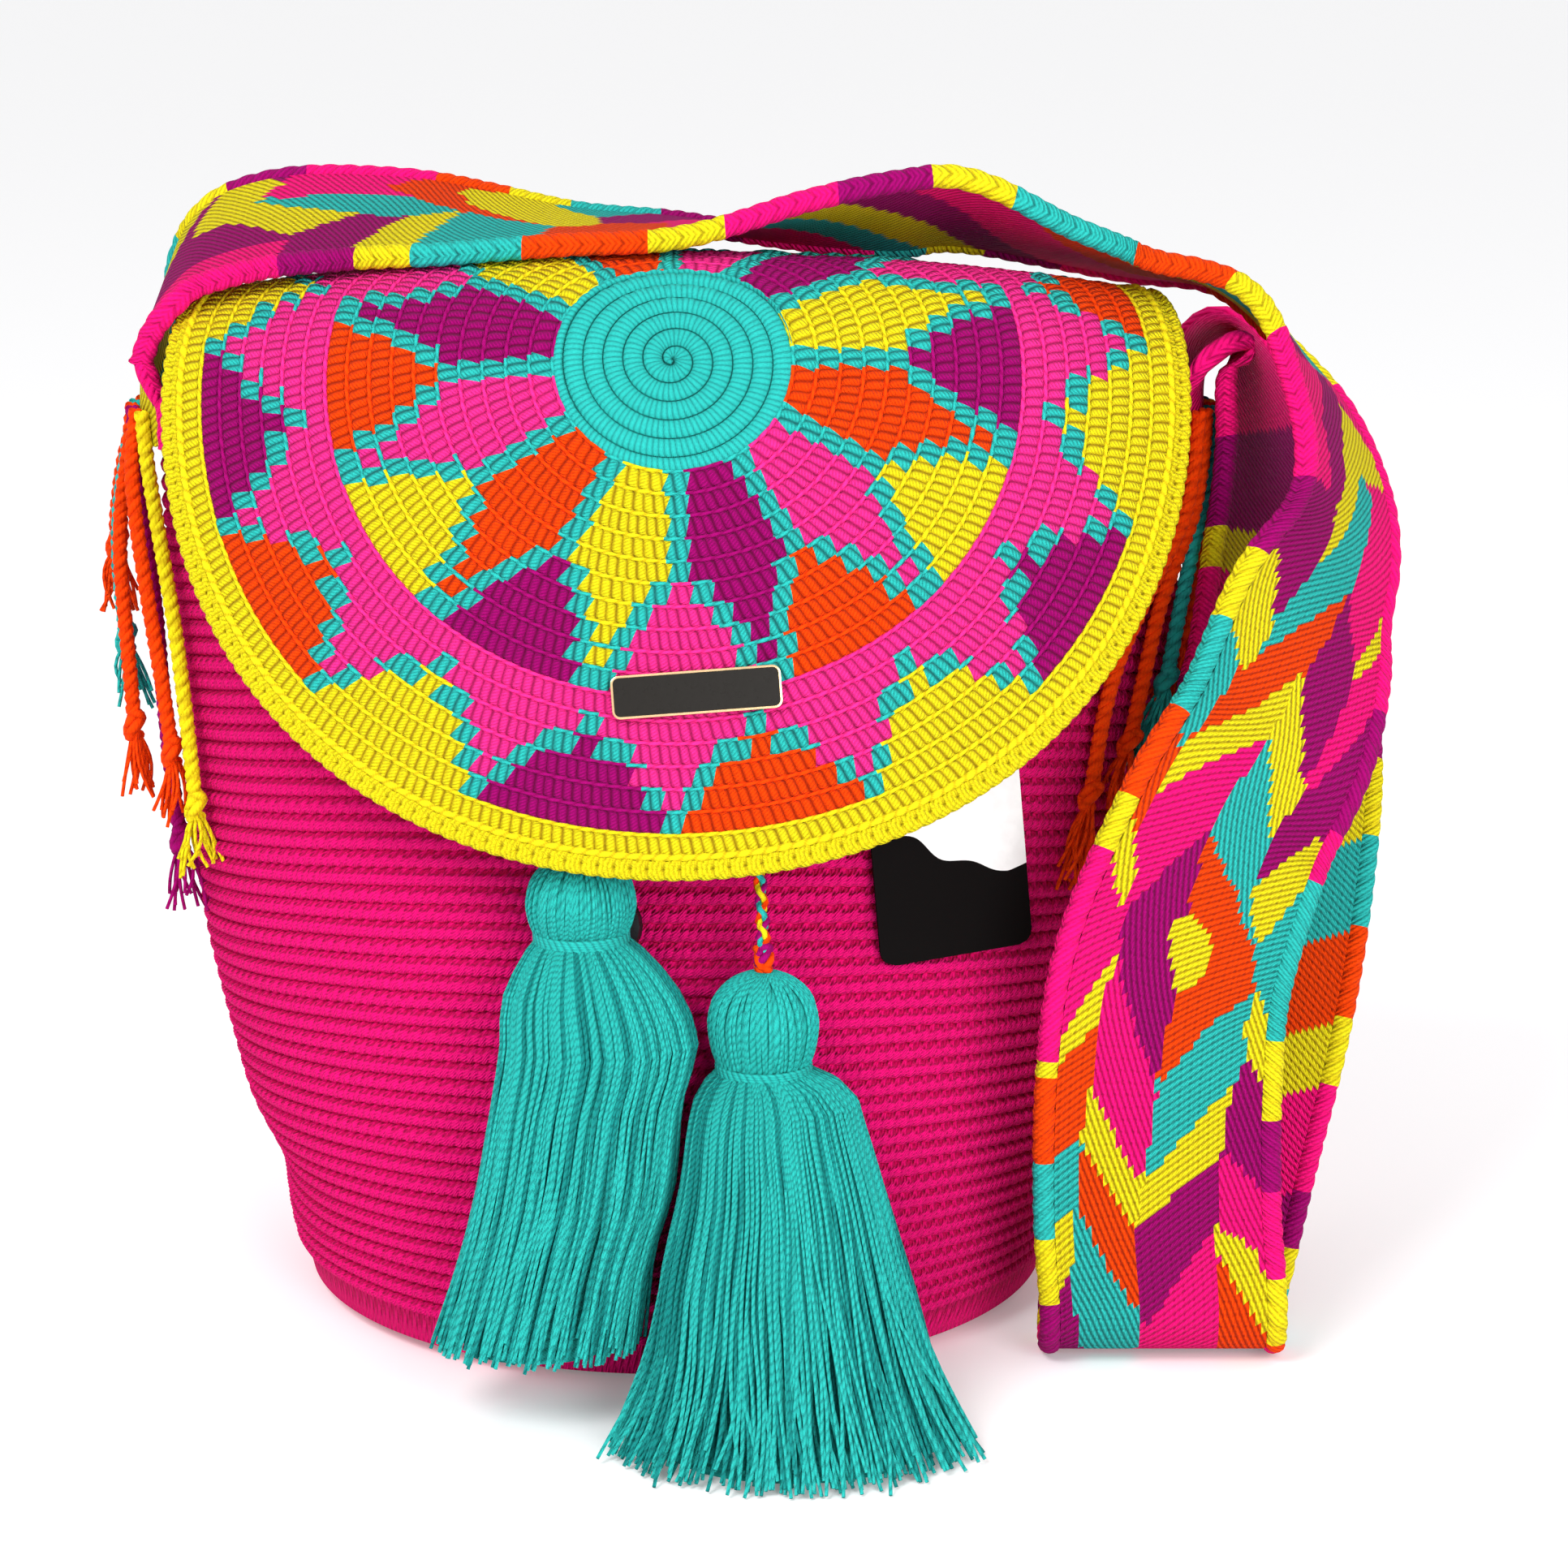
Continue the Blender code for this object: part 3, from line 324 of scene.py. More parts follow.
def carried_sides(path):
    """For each point two ways to the side, carried along the path without a twist."""
    last = len(path) - 1
    ahead = [(path[min(i + 1, last)] - path[max(i - 1, 0)]).normalized() for i in range(len(path))]
    first = ahead[0].orthogonal().normalized()
    sides = []
    for way in ahead:
        first = (first - way * first.dot(way)).normalized()
        sides.append((first, way.cross(first)))
    return sides


def facing(point, normal, tilt):
    """A place at the point whose Z is the normal and whose Y is as upright as it can be, turned by the tilt."""
    right = Vector((0, 0, 1)).cross(normal).normalized()
    turned = Matrix((right, normal.cross(right), normal)).transposed().to_4x4()
    return Matrix.Translation(point) @ turned @ Matrix.Rotation(tilt, 4, "Z")


# Shapes that the pieces follow

def rim_height(angle):
    return blend(RIM_SIDE, RIM_FRONT, math.sin(angle) ** 2)


def wall_half_width(share):
    return blend(BASE_RADIUS + BASE_CORNER, MOUTH_HALF_WIDTH, 1 - (1 - share) ** WIDTH_EASE)


def wall_half_depth(share):
    return blend(BASE_RADIUS + BASE_CORNER, MOUTH_HALF_DEPTH, 1 - (1 - share) ** DEPTH_EASE)


def wall_normal(angle, share):
    wide, deep = wall_half_width(share), wall_half_depth(share)
    return Vector((deep * math.cos(angle), wide * math.sin(angle), 0)).normalized()


def wall_point(angle, share, inset=0.0):
    """A point of the wall, from share 0 at the base corner to 1 at the rim, moved in by the inset."""
    height = blend(BASE_CORNER, rim_height(angle), share)
    point = Vector((wall_half_width(share) * math.cos(angle), wall_half_depth(share) * math.sin(angle), height))
    turned = (angle - FOLD_ANGLE + math.pi) % CIRCLE - math.pi
    fold = FOLD_DEPTH * math.exp(-(turned / FOLD_WIDTH) ** 2 - ((height - FOLD_HEIGHT) / FOLD_REACH) ** 2)
    return point - wall_normal(angle, share) * (inset + fold)


def share_at(height, angle):
    return (height - BASE_CORNER) / (rim_height(angle) - BASE_CORNER)


def front_point(x, height, inset=0.0):
    """The point of the front wall at this x and height."""
    angle = -QUARTER
    for _ in range(12):
        share = share_at(height, angle)
        angle = -math.acos(max(-1.0, min(1.0, x / wall_half_width(share))))
    return wall_point(angle, share_at(height, angle), inset)


def walk(side, arc, height, off):
    """A point off the side wall, an arc length forward of the strap's middle line. Side is -1 at the left."""
    share = min(1.0, share_at(height, 0.0))
    depth = wall_half_depth(share)
    angle = math.asin(STRAP_SETBACK / depth)
    steps = 24
    for _ in range(steps):
        angle -= arc / steps / math.hypot(wall_half_width(share) * math.sin(angle), depth * math.cos(angle))
    point = wall_point(angle if side > 0 else math.pi - angle, share, -off)
    return Vector((point.x, point.y, height))


def flap_surface(across, along):
    """The flap's outer face. Along is 0 at the disc's centre, negative to the tip and positive to the back."""
    inner = FLAP_BEND - FLAP_WALL - FLAP_SEAT_GAP
    middle_y = -MOUTH_HALF_DEPTH + math.cos(FLAP_SEAT_ANGLE) * inner
    middle_z = RIM_FRONT - math.sin(FLAP_SEAT_ANGLE) * inner
    x = FLAP_SHIFT + FLAP_CURVE * math.sin(across / FLAP_CURVE)
    back = FLAP_CURVE * (1 - math.cos(across / FLAP_CURVE))
    droop = FLAP_DROOP * across ** 2
    if along <= 0:
        rate = (FLAP_LEAN_TOP - FLAP_LEAN_TIP) / FLAP_RADIUS
        lean = FLAP_LEAN_TOP + rate * along * FLAP_SETTLE
        top_y, top_z = math.cos(FLAP_LEAN_TOP), math.sin(FLAP_LEAN_TOP)
        y = middle_y - top_y * FLAP_BEND - (math.cos(lean) - top_y) / rate
        z = middle_z + top_z * FLAP_BEND - (top_z - math.sin(lean)) / rate
        return Vector((x, y + back, z - droop))
    turned = QUARTER - FLAP_LEAN_TOP - min(along, BEND_LENGTH) / FLAP_BEND
    y = middle_y - FLAP_BEND * math.sin(turned) + back
    z = middle_z + FLAP_BEND * math.cos(turned) - droop
    if along <= BEND_LENGTH:
        return Vector((x, y, z))
    end = max(math.sqrt(max(FLAP_RADIUS ** 2 - across ** 2, 0.0)), along)
    reach = end - BEND_LENGTH
    side = min(1.0, (x / MOUTH_HALF_WIDTH) ** 2)
    rim_y = MOUTH_HALF_DEPTH * math.sqrt(1 - side) - WALL / 2
    rim_z = blend(RIM_SIDE, RIM_FRONT, 1 - side) + FLAP_WALL + FLAP_SEAT_GAP
    end_y = min(rim_y, y + FLAP_STRETCH * reach)
    end_z = max(rim_z, z - FLAP_FALL * reach)
    share = (along - BEND_LENGTH) / reach
    return Vector((x, blend(y, end_y, share), blend(z, end_z, share ** 1.7)))


def flap_normal(across, along):
    step = 0.001
    over = flap_surface(across + step, along) - flap_surface(across - step, along)
    up = flap_surface(across, along + step) - flap_surface(across, along - step)
    return over.cross(up).normalized()


def flap_point(radius, degrees, depth):
    """A place on the flap in disc terms, this deep under its face. Past the edge it goes straight on."""
    turn, inside = math.radians(degrees), min(radius, FLAP_RADIUS)
    across, along = inside * math.cos(turn), -inside * math.sin(turn)
    point = flap_surface(across, along)
    further = flap_surface(across + 0.0005 * math.cos(turn), along - 0.0005 * math.sin(turn))
    past = max(0.0, radius - FLAP_RADIUS)
    return point - flap_normal(across, along) * depth + (further - point).normalized() * past


def round_radius(number):
    core = min(number, CORE_ROUNDS)
    return core * CORE_PITCH + (number - core) * ROUND_PITCH


def round_stitches(number):
    """How many stitches this round has: the same number for each petal, or for each edge triangle."""
    repeat = PETALS if number < EDGE_FIRST_ROUND else EDGE_TRIANGLES
    around = CIRCLE * (round_radius(number) - ROUND_PITCH / 2)
    return repeat * round(around / (repeat * STITCH))


def round_start(number):
    """The angle of a stitch's middle, which lies on the line between two petals or at a triangle's tip."""
    return PETAL_START if number < EDGE_FIRST_ROUND else EDGE_TIP


def flap_colour(number, degrees):
    """The yarn at this round and angle: petals, what lies between them, a ring, edge triangles, a border."""
    if number <= CORE_ROUNDS:
        return "teal"
    if number > EDGE_LAST_ROUND:
        return "yellow"
    if PETAL_LAST_ROUND < number < EDGE_FIRST_ROUND:
        return "light pink"
    repeat = PETALS if number < EDGE_FIRST_ROUND else EDGE_TRIANGLES
    turn = (degrees - round_start(number)) / (360 / repeat)
    nearest = round(turn)
    if number < EDGE_FIRST_ROUND:
        stitches = abs(turn - nearest) * round_stitches(number) / PETALS
        inner = 0.5 + 0.8 * (number - PETAL_FULL_ROUND - 1) if number > PETAL_FULL_ROUND else -0.5
        within = BETWEEN_COLOURS[nearest % len(BETWEEN_COLOURS)]
        beyond = PETAL_COLOURS[math.floor(turn) % len(PETAL_COLOURS)]
    else:
        stitches = (0.5 - abs(turn - nearest)) * round_stitches(number) / EDGE_TRIANGLES
        inner = EDGE_LAST_ROUND - 0.5 - number
        within, beyond = "light pink", EDGE_COLOURS[nearest % EDGE_TRIANGLES]
    if stitches < inner:
        return within
    return "teal" if stitches < inner + 1 else beyond


# Finishes

class Term:
    """A shader value. Python's operators on it add Math nodes."""

    def __init__(self, finish, socket):
        self.finish = finish
        self.socket = socket

    def maths(self, operation, *others):
        values = dict(enumerate((self, *others)))
        return self.finish.node("ShaderNodeMath", {"operation": operation}, values)[0]

    def __add__(self, other):
        return self.maths("ADD", other)

    def __sub__(self, other):
        return self.maths("SUBTRACT", other)

    def __mul__(self, other):
        return self.maths("MULTIPLY", other)

    __radd__ = __add__

    def ridge(self):
        """A rounded ridge once for each whole number, from 0 in the grooves to 1 on top."""
        return (self * math.pi).maths("SINE").maths("ABSOLUTE")

    def smoothed(self, low, high):
        """0 up to the low value and 1 from the high one on, with a soft step between."""
        return self.finish.node("ShaderNodeMapRange", {"interpolation_type": "SMOOTHSTEP"},
                                {"Value": self, "From Min": low, "From Max": high})[0]


class Finish:
    """One procedural material. node() adds any node from its settings and socket values."""

    def __init__(self, name, shown, **steady):
        self.material = bpy.data.materials.new(name)
        self.material.use_nodes = True
        self.material.diffuse_color = (*shown, 1)
        self.tree = self.material.node_tree
        self.shader = self.tree.nodes["Principled BSDF"]
        for socket, value in {"Base_Color": (*shown, 1), **steady}.items():
            self.shader.inputs[socket.replace("_", " ")].default_value = value

    def node(self, kind, settings=(), inputs=()):
        made = self.tree.nodes.new(kind)
        for name, value in dict(settings).items():
            setattr(made, name, value)
        for place, value in dict(inputs).items():
            if isinstance(value, Term):
                self.tree.links.new(value.socket, made.inputs[place])
            else:
                made.inputs[place].default_value = value
        return [Term(self, output) for output in made.outputs]

    def thread_map(self):
        """The two directions of the piece's own thread map."""
        thread = self.node("ShaderNodeUVMap", {"uv_map": "thread"})[0]
        return self.node("ShaderNodeSeparateXYZ", inputs={0: thread})[:2]

    def dyed(self):
        return self.node("ShaderNodeAttribute", {"attribute_name": "colour"})[0]

    def noise(self, scale, detail):
        place = self.node("ShaderNodeTexCoord")[3]
        inputs = {"Vector": place, "Scale": scale, "Detail": detail, "Roughness": 0.55}
        return self.node("ShaderNodeTexNoise", inputs=inputs)[0]

    def mix(self, share, first, second, blend_type="MIX"):
        return self.node("ShaderNodeMix", {"data_type": "RGBA", "blend_type": blend_type},
                         {"Factor": share, 6: first, 7: second})[2]

    def tinted(self, colour, tint, share):
        """The colour, and as much of it as the share says multiplied by the tint."""
        return self.mix(share, colour, self.mix(1.0, colour, (*tint, 1), "MULTIPLY"))

    def feed(self, socket, value):
        self.tree.links.new(value.socket, self.shader.inputs[socket])

    def relief(self, height, depth, strength=1.0):
        inputs = {"Height": height, "Distance": depth, "Strength": strength}
        self.feed("Normal", self.node("ShaderNodeBump", inputs=inputs)[0])


def yarn_finish(name, thread_height, depth, groove):
    """Dyed cotton whose strands follow the thread map, with painted shade in the grooves between them.
    thread_height makes the relief of its two directions.
    """
    finish = Finish(name, YARNS["pink"], Roughness=0.85, Sheen_Weight=0.015, Sheen_Roughness=0.5,
                    Specular_IOR_Level=0.05)
    height = thread_height(*finish.thread_map())
    fibres = finish.noise(1900, 2.0)
    blots = finish.noise(55, 2.0)
    dyed = finish.dyed()
    # Painted shade: where the relief is low, between strands, the colour is darkened by as much as groove says.
    colour = finish.mix(height.smoothed(0.06, 0.82), finish.tinted(dyed, GROOVE_SHADE, groove), dyed)
    colour = finish.tinted(colour, DYE_TINT, blots.smoothed(0.3, 0.8) * 0.10)
    colour = finish.tinted(colour, FIBRE_TINT, fibres.smoothed(0.62, 0.30) * 0.22)
    finish.feed("Base Color", colour)
    finish.feed("Roughness", 0.62 + fibres * 0.3)
    finish.relief(height + fibres * 0.25, depth)
    return finish.material


def crochet_height(across, along):
    """Slanted twisted strands, two to a stitch, with a slight groove at each stitch."""
    lean = across + along * 0.70
    strand = (lean * 2.0).ridge().maths("POWER", 0.8)
    twist = (across * 3.0 - along * 6.0).ridge()
    return lean.ridge().smoothed(0.0, 0.5) * 0.12 + strand * 0.58 + twist * strand * 0.30


def body_height(across, along):
    """Rows of short leaning stitches: along counts the rows, across the stitches."""
    lean = across + along.maths("FRACT") * 0.32 + along.maths("FLOOR") * 0.37
    row = (along + lean.maths("FRACT") * 0.22).ridge().smoothed(0.04, 0.60)
    twist = (lean * 4.0 + along * 4.0).ridge()
    return row * 0.50 + (lean * 2.0).ridge() * 0.32 + twist * 0.16


def rope_height(across, along):
    """Two plies of a twisted strand: across goes once round it, along counts its turns."""
    fine = (across * 5.0 - along * 4.0).ridge()
    return (across + along).ridge() * 0.72 + fine * 0.20


def weave_height(across, along):
    """Twisted strands side by side, each broken where it dips under the next."""
    strand = across.ridge()
    twist = (along * 2.0 - across).ridge()
    dip = (along * 0.5 + across.maths("FLOOR") * 0.5).ridge().smoothed(0.0, 0.35)
    return strand * 0.50 + twist * strand * 0.26 + dip * 0.26


def plait_height(across, along):
    """A plait's slanted stitches, which meet in V shapes where across is 0. Across is 1 at both edges."""
    lean = along + across * PLAIT_LEAN
    strand = (lean * 3.0 + across).ridge()
    twist = (lean * 3.0 - across * 5.0).ridge()
    return lean.ridge().maths("POWER", 0.6) * 0.50 + strand * 0.30 + twist * strand * 0.18


def plain_finish(name, colour, roughness, metallic=0.0, grain=0.08, scale=900, **steady):
    finish = Finish(name, colour, Metallic=metallic, Roughness=roughness, **steady)
    speck = finish.noise(scale, 4.0)
    finish.feed("Roughness", roughness - grain / 2 + speck * grain)
    darker = [channel * 0.94 for channel in colour]
    finish.feed("Base Color", finish.mix(speck.smoothed(0.3, 0.7), (*darker, 1), (*colour, 1)))
    finish.relief(speck, 0.00002, 0.6)
    return finish.material


# The last number of each is how much painted shade darkens that yarn's grooves.
CROCHET = yarn_finish("crochet yarn", crochet_height, 0.0014, 0.8)
BODY_CROCHET = yarn_finish("body crochet", body_height, 0.0020, 0.85)
TWISTED = yarn_finish("twisted yarn", rope_height, 0.0004, 0.55)
WOVEN = yarn_finish("woven yarn", weave_height, 0.0014, 0.8)
PLAITED = yarn_finish("plaited yarn", plait_height, 0.0012, 0.5)
ENAMEL = plain_finish("dark enamel", (0.009, 0.007, 0.005), 0.28, grain=0.05, scale=700,
                      Specular_IOR_Level=0.22)
BRASS = plain_finish("polished brass", (0.86, 0.60, 0.33), 0.22, 1.0)
BLACK_CARD = plain_finish("black card", (0.005, 0.004, 0.004), 0.6, grain=0.06, Specular_IOR_Level=0.03)
WHITE_CARD = plain_finish("white card", (0.95, 0.95, 0.95), 0.6, grain=0.04, scale=300,
                          Specular_IOR_Level=0.15)
SNAP_METAL = plain_finish("dark snap metal", (0.05, 0.05, 0.055), 0.28, 0.8)


# Meshes in the making

def in_scene(name, data):
    made = bpy.data.objects.new(name, data)
    bpy.context.scene.collection.objects.link(made)
    return made


def add_piece(name, bm, materials, slot, node=None, sharp=70):
    """The finished piece, at the origin, riding on the bag's one body."""
    mesh = bpy.data.meshes.new(name)
    bm.to_mesh(mesh)
    bm.free()
    for material in materials:
        mesh.materials.append(material)
    mesh.shade_smooth()
    mesh.set_sharp_from_angle(angle=math.radians(sharp))
    piece = in_scene(name, mesh)
    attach(piece, "root")
    if node:
        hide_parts(node)
    return piece


class Cloth:
    """One piece's mesh, with its thread map and its dyed colours."""

    def __init__(self):
        self.bm = bmesh.new()
        self.thread = self.bm.loops.layers.uv.new("thread")
        self.dye = self.bm.loops.layers.float_color.new("colour")

    def patch(self, columns, rows, place, colour, thread, material=0):
        """A grid bent to a formula. place(column, row) gives a point, colour(column, row) the yarn of the face
        after it, or the yarn and its kind of thread, and thread(column, row) its place in the thread map."""
        made = bmesh.ops.create_grid(self.bm, x_segments=columns, y_segments=rows, size=1.0)
        spots = {}
        for vert in made["verts"]:
            spots[vert] = (round((vert.co.x + 1) / 2 * columns), round((vert.co.y + 1) / 2 * rows))
        for face in {face for vert in made["verts"] for face in vert.link_faces}:
            corners = [spots[loop.vert] for loop in face.loops]
            yarn, kind = colour(min(x for x, _ in corners), min(y for _, y in corners)), ()
            if isinstance(yarn, tuple):
                yarn, *kind = yarn
            face.material_index = material
            for loop, (x, y) in zip(face.loops, corners):
                loop[self.dye] = (*YARNS[yarn], 1)
                loop[self.thread].uv = thread(x, y, *kind)
        for vert, (x, y) in spots.items():
            vert.co = place(x, y)

    def strand(self, path, radius, sides, yarn, turns, offset=0.0):
        """A round strand along the path, closed to a point at both ends and twisted by turns at each point."""
        ways = carried_sides(path)
        last = len(path) - 1

        def place(x, y):
            index = min(max(y - 1, 0), last)
            if y in (0, last + 2):
                return path[index]
            return path[index] + circled(*ways[index], -corner(x, sides)) * radius

        self.patch(sides, last + 2, place, lambda x, y: yarn, lambda x, y: (x / sides, y * turns + offset))

    def finish(self, name, materials, slot, node=None):
        bmesh.ops.remove_doubles(self.bm, verts=self.bm.verts, dist=1e-6)
        bmesh.ops.dissolve_degenerate(self.bm, edges=self.bm.edges, dist=1e-7)
        bmesh.ops.recalc_face_normals(self.bm, faces=self.bm.faces)
        return add_piece(name, self.bm, materials, slot, node)


# Camera, light and floor

def make_camera():
    lens = bpy.data.cameras.new("camera")
    lens.sensor_width = SENSOR
    lens.lens = FOCAL_PIXELS / FRAME_PIXELS * SENSOR
    lens.clip_start = 0.05
    camera = in_scene("camera", lens)
    camera.location = CAMERA
    camera.rotation_euler = (QUARTER - math.atan2(CAMERA.z - AIM_HEIGHT, -CAMERA.y), 0, 0)
    bpy.context.scene.camera = camera


def make_lamp(name, place, size, power):
    data = bpy.data.lights.new(name, "AREA")
    data.shape = "DISK"
    data.size = size
    data.energy = power
    lamp = in_scene(name, data)
    lamp.location = place
    lamp.rotation_euler = (LAMP_AIM - Vector(place)).to_track_quat("-Z", "Y").to_euler()


def make_world():
    """White to the camera and in reflections, and a little darker as light."""
    world = bpy.data.worlds.new("studio")
    bpy.context.scene.world = world
    world.use_nodes = True
    tree = world.node_tree
    rays = tree.nodes.new("ShaderNodeLightPath")
    seen = tree.nodes.new("ShaderNodeMath")
    seen.operation = "MAXIMUM"
    level = tree.nodes.new("ShaderNodeMapRange")
    level.inputs["To Min"].default_value = WORLD_LEVEL
    background = tree.nodes["Background"]
    background.inputs["Color"].default_value = (1, 1, 1, 1)
    for output, socket in ((rays.outputs["Is Camera Ray"], seen.inputs[0]),
                           (rays.outputs["Is Glossy Ray"], seen.inputs[1]),
                           (seen.outputs[0], level.inputs["Value"]),
                           (level.outputs[0], background.inputs["Strength"])):
        tree.links.new(output, socket)


def make_floor():
    """A pale floor that glows a little to the camera, so that it meets the backdrop without a line."""
    bm = bmesh.new()
    bmesh.ops.create_grid(bm, x_segments=1, y_segments=1, size=FLOOR_SIZE)
    mesh = bpy.data.meshes.new("floor")
    bm.to_mesh(mesh)
    bm.free()
    finish = Finish("pale floor", (0.93, 0.93, 0.94), Roughness=0.9, Specular_IOR_Level=0.1,
                    Emission_Strength=1.0)
    seen = finish.node("ShaderNodeLightPath")[0]
    finish.feed("Emission Color", finish.mix(seen, (0, 0, 0, 1), (FLOOR_GLOW, FLOOR_GLOW, FLOOR_GLOW, 1)))
    mesh.materials.append(finish.material)
    in_scene("floor", mesh)


def make_studio():
    make_camera()
    make_world()
    make_floor()
    for lamp in LAMPS:
        make_lamp(*lamp)
    bpy.context.scene.view_settings.view_transform = "Standard"


# Cords

def eyelet_angles():
    """Angles that share the mouth's edge evenly, from just left of the front's middle and round by the left."""
    samples = 2000
    steps = [-QUARTER - CIRCLE * sample / samples for sample in range(samples + 1)]
    lengths = running_lengths([wall_point(angle, EYELET_SHARE) for angle in steps])
    found = []
    for eyelet in range(EYELETS):
        wanted = lengths[-1] * (eyelet + 0.5) / EYELETS
        found.append(steps[min(range(samples + 1), key=lambda sample: abs(lengths[sample] - wanted))])
    return found


def tassel_neck(tassel):
    """The middle of the neck of a tassel whose head leans on the front of the wall, clear of the snap."""
    x, neck = tassel["x"], tassel["neck"]
    head = front_point(x, neck + tassel["lower"]).y - tassel["radius"] * HEAD_FLATTEN
    tie = front_point(x, neck).y - (NECK_RADIUS + GAP + TIE_WALL)
    return Vector((x, min(head, tie) - TASSEL_STAND_OFF, neck))


def hanging_end(tassel, mouth):
    """The free end, from straight over a tassel's top up the front of the wall to its eyelet."""
    top = tassel_neck(tassel) + Vector((0, 0, tassel["lower"] + tassel["upper"] * math.sin(HEAD_CROWN)))
    start = top + Vector((0, 0, GAP))
    rest = []
    for share in (0.30, 0.50, 0.70, 0.88):
        x, height = blend(top.x, mouth.x, share), blend(top.z, mouth.z, share)
        wall = front_point(x, height, -(CORD_RADIUS + CORD_LIFT))
        forward = blend(top.y, wall.y, min(1.0, share * 1.7))
        rest.append(Vector((x, min(wall.y, forward), height)))
    return even_path([start, start + Vector((0, 0, 0.007)), *rest, mouth], CORD_SPACING)


def drawstring_path():
    """In at every odd eyelet and out at every even one, from the left tassel round the back to the right."""
    outside = -(CORD_RADIUS + CORD_LIFT)
    inside = INSIDE + CORD_RADIUS + CORD_LIFT
    turns = eyelet_angles()
    path = []
    for number, angle in enumerate(turns):
        along = Vector((0, 0, 1)).cross(wall_normal(angle, EYELET_SHARE))
        first, last = (inside, outside) if number % 2 else (outside, inside)
        for shift, depth in ((0.0080, 0.0), (0.0030, 0.09), (-0.0030, 0.91), (-0.0080, 1.0)):
            path.append(wall_point(angle, EYELET_SHARE, blend(first, last, depth)) + along * shift)
        if number < EYELETS - 1:
            path.append(wall_point(blend(angle, turns[number + 1], 0.5), EYELET_SHARE, last))
    start, end = hanging_end(LEFT_TASSEL, path[0]), hanging_end(RIGHT_TASSEL, path[-1])
    return [*start, *path[1:-1], *reversed(end)]


def fringe_path(side, start, route):
    """From the strap's outer face down by the wall. Its end is taken up by the knot and the tuft."""
    face = FRINGE_LIFT + STRAP_ROLL + STRAP_HALF_WALL + FRINGE_RADIUS
    points = [walk(side, start, RIM_SIDE + rise, face) for rise in (-0.0015, -0.0080)]
    points += [walk(side, arc * MM, RIM_SIDE - drop * MM, off * MM) for arc, drop, off in route]
    return even_path(points, FRINGE_SPACING)


def wind(cloth, path, yarns, radius, pitch, way_round, sides):
    """Strands wound round the path, one for each yarn. way_round gives the angle and the distance at a phase."""
    ways = carried_sides(path)
    spacing = running_lengths(path)[-1] / (len(path) - 1)
    for number, yarn in enumerate(yarns):
        points = []
        for index, (centre, way) in enumerate(zip(path, ways)):
            turn, out = way_round(number, index * spacing / pitch)
            points.append(centre + circled(*way, turn) * out)
        cloth.strand(points, radius, sides, yarn, turns=spacing / (radius * 4))


def lay_plies(number, phase):
    return CIRCLE * (number / 3 + phase), PLY_HELIX


def braid(number, phase):
    """Two strands wind one way and two the other, over and under by turns."""
    direction = -1 if number % 2 else 1
    out = BRAID_STRAND * (1.25 + 0.5 * direction * math.cos(2 * CIRCLE * phase))
    return direction * CIRCLE * phase + math.pi * (number // 2), out


def make_knot(cloth, place, way, radius, yarn):
    """A cord's own knot: two and a half turns wound over each other."""
    sides = carried_sides([place, place + way])[0]
    points = []
    steps = 30
    for step in range(steps + 1):
        turn = CIRCLE * 2.5 * step / steps
        out = radius * (0.62 + 0.12 * math.sin(turn * 1.4))
        rise = radius * 1.1 * math.cos(turn * 0.8 + 0.5)
        points.append(place + way * rise + circled(*sides, turn) * out)
    cloth.strand(points, radius * 0.42, 8, yarn, turns=0.35)


def make_tuft(cloth, place, way, tuft, yarn, draws):
    """Loose ends below a knot, each a thin strand that bends its own way."""
    length, count, spread = tuft
    sides = carried_sides([place, place + way])[0]
    for _ in range(count):
        turn = draws.uniform(0, CIRCLE)
        lean = draws.uniform(0.1, 1.0) * spread
        bend = draws.uniform(-0.5, 0.5) * spread
        reach = length * draws.uniform(0.65, 1.0)
        points = []
        for step in range(7):
            share = step / 6
            out = circled(*sides, turn) * (0.0007 + lean * share ** 1.3)
            sway = circled(*sides, turn + QUARTER) * bend * math.sin(share * 3)
            points.append(place + way * reach * share + out + sway)
        cloth.strand(points, TUFT_STRAND, 5, yarn, turns=0.9)


def make_drawstring():
    path = even_path(drawstring_path(), DRAWSTRING_STEP)
    cloth = Cloth()
    wind(cloth, path, DRAWSTRING_PLIES, BRAID_STRAND, BRAID_PITCH, braid, 6)
    for end, following, under, over in ((path[0], path[1], "orange", "yellow"),
                                        (path[-1], path[-2], "orange", "purple")):
        way = (following - end).normalized()
        make_knot(cloth, end + way * 0.0032, way, CORD_RADIUS * 1.35, under)
        make_knot(cloth, end + way * 0.0040, -way, CORD_RADIUS * 1.25, over)
    cord = cloth.finish("braided_drawstring", [TWISTED], "braided cord", "drawstring")
    tuple(path[0])
    running_lengths(path)[-1]
    [tuple(point) for point in even_path(path, CORD_POINTS)]


def make_fringe(place, number, side, colour, start, route, draws):
    whole = fringe_path(side, start * MM, route)
    tip = (whole[-1] - whole[-2]).normalized()
    path = even_path([*whole[:-1], whole[-1] - tip * FRINGE_END], FRINGE_STEP)
    name, slot = f"{place}_fringe_cord_{number}", f"{colour} yarn"
    cloth = Cloth()
    wind(cloth, path, [colour] * 3, PLY_RADIUS, PLY_PITCH, lay_plies, 7)
    cord = cloth.finish(name, [TWISTED], slot, f"fringe_{place}_{number}")
    ends = Cloth()
    make_knot(ends, path[-1], tip, FRINGE_RADIUS * 1.6, colour)
    make_tuft(ends, path[-1] + tip * 0.001, tip, LEFT_TUFT if side < 0 else RIGHT_TUFT, colour, draws)
    tuft = ends.finish(f"{name}_end", [TWISTED], slot)
    tuple(path[0])
    running_lengths(path)[-1]
    [tuple(point) for point in even_path(path, CORD_POINTS)]


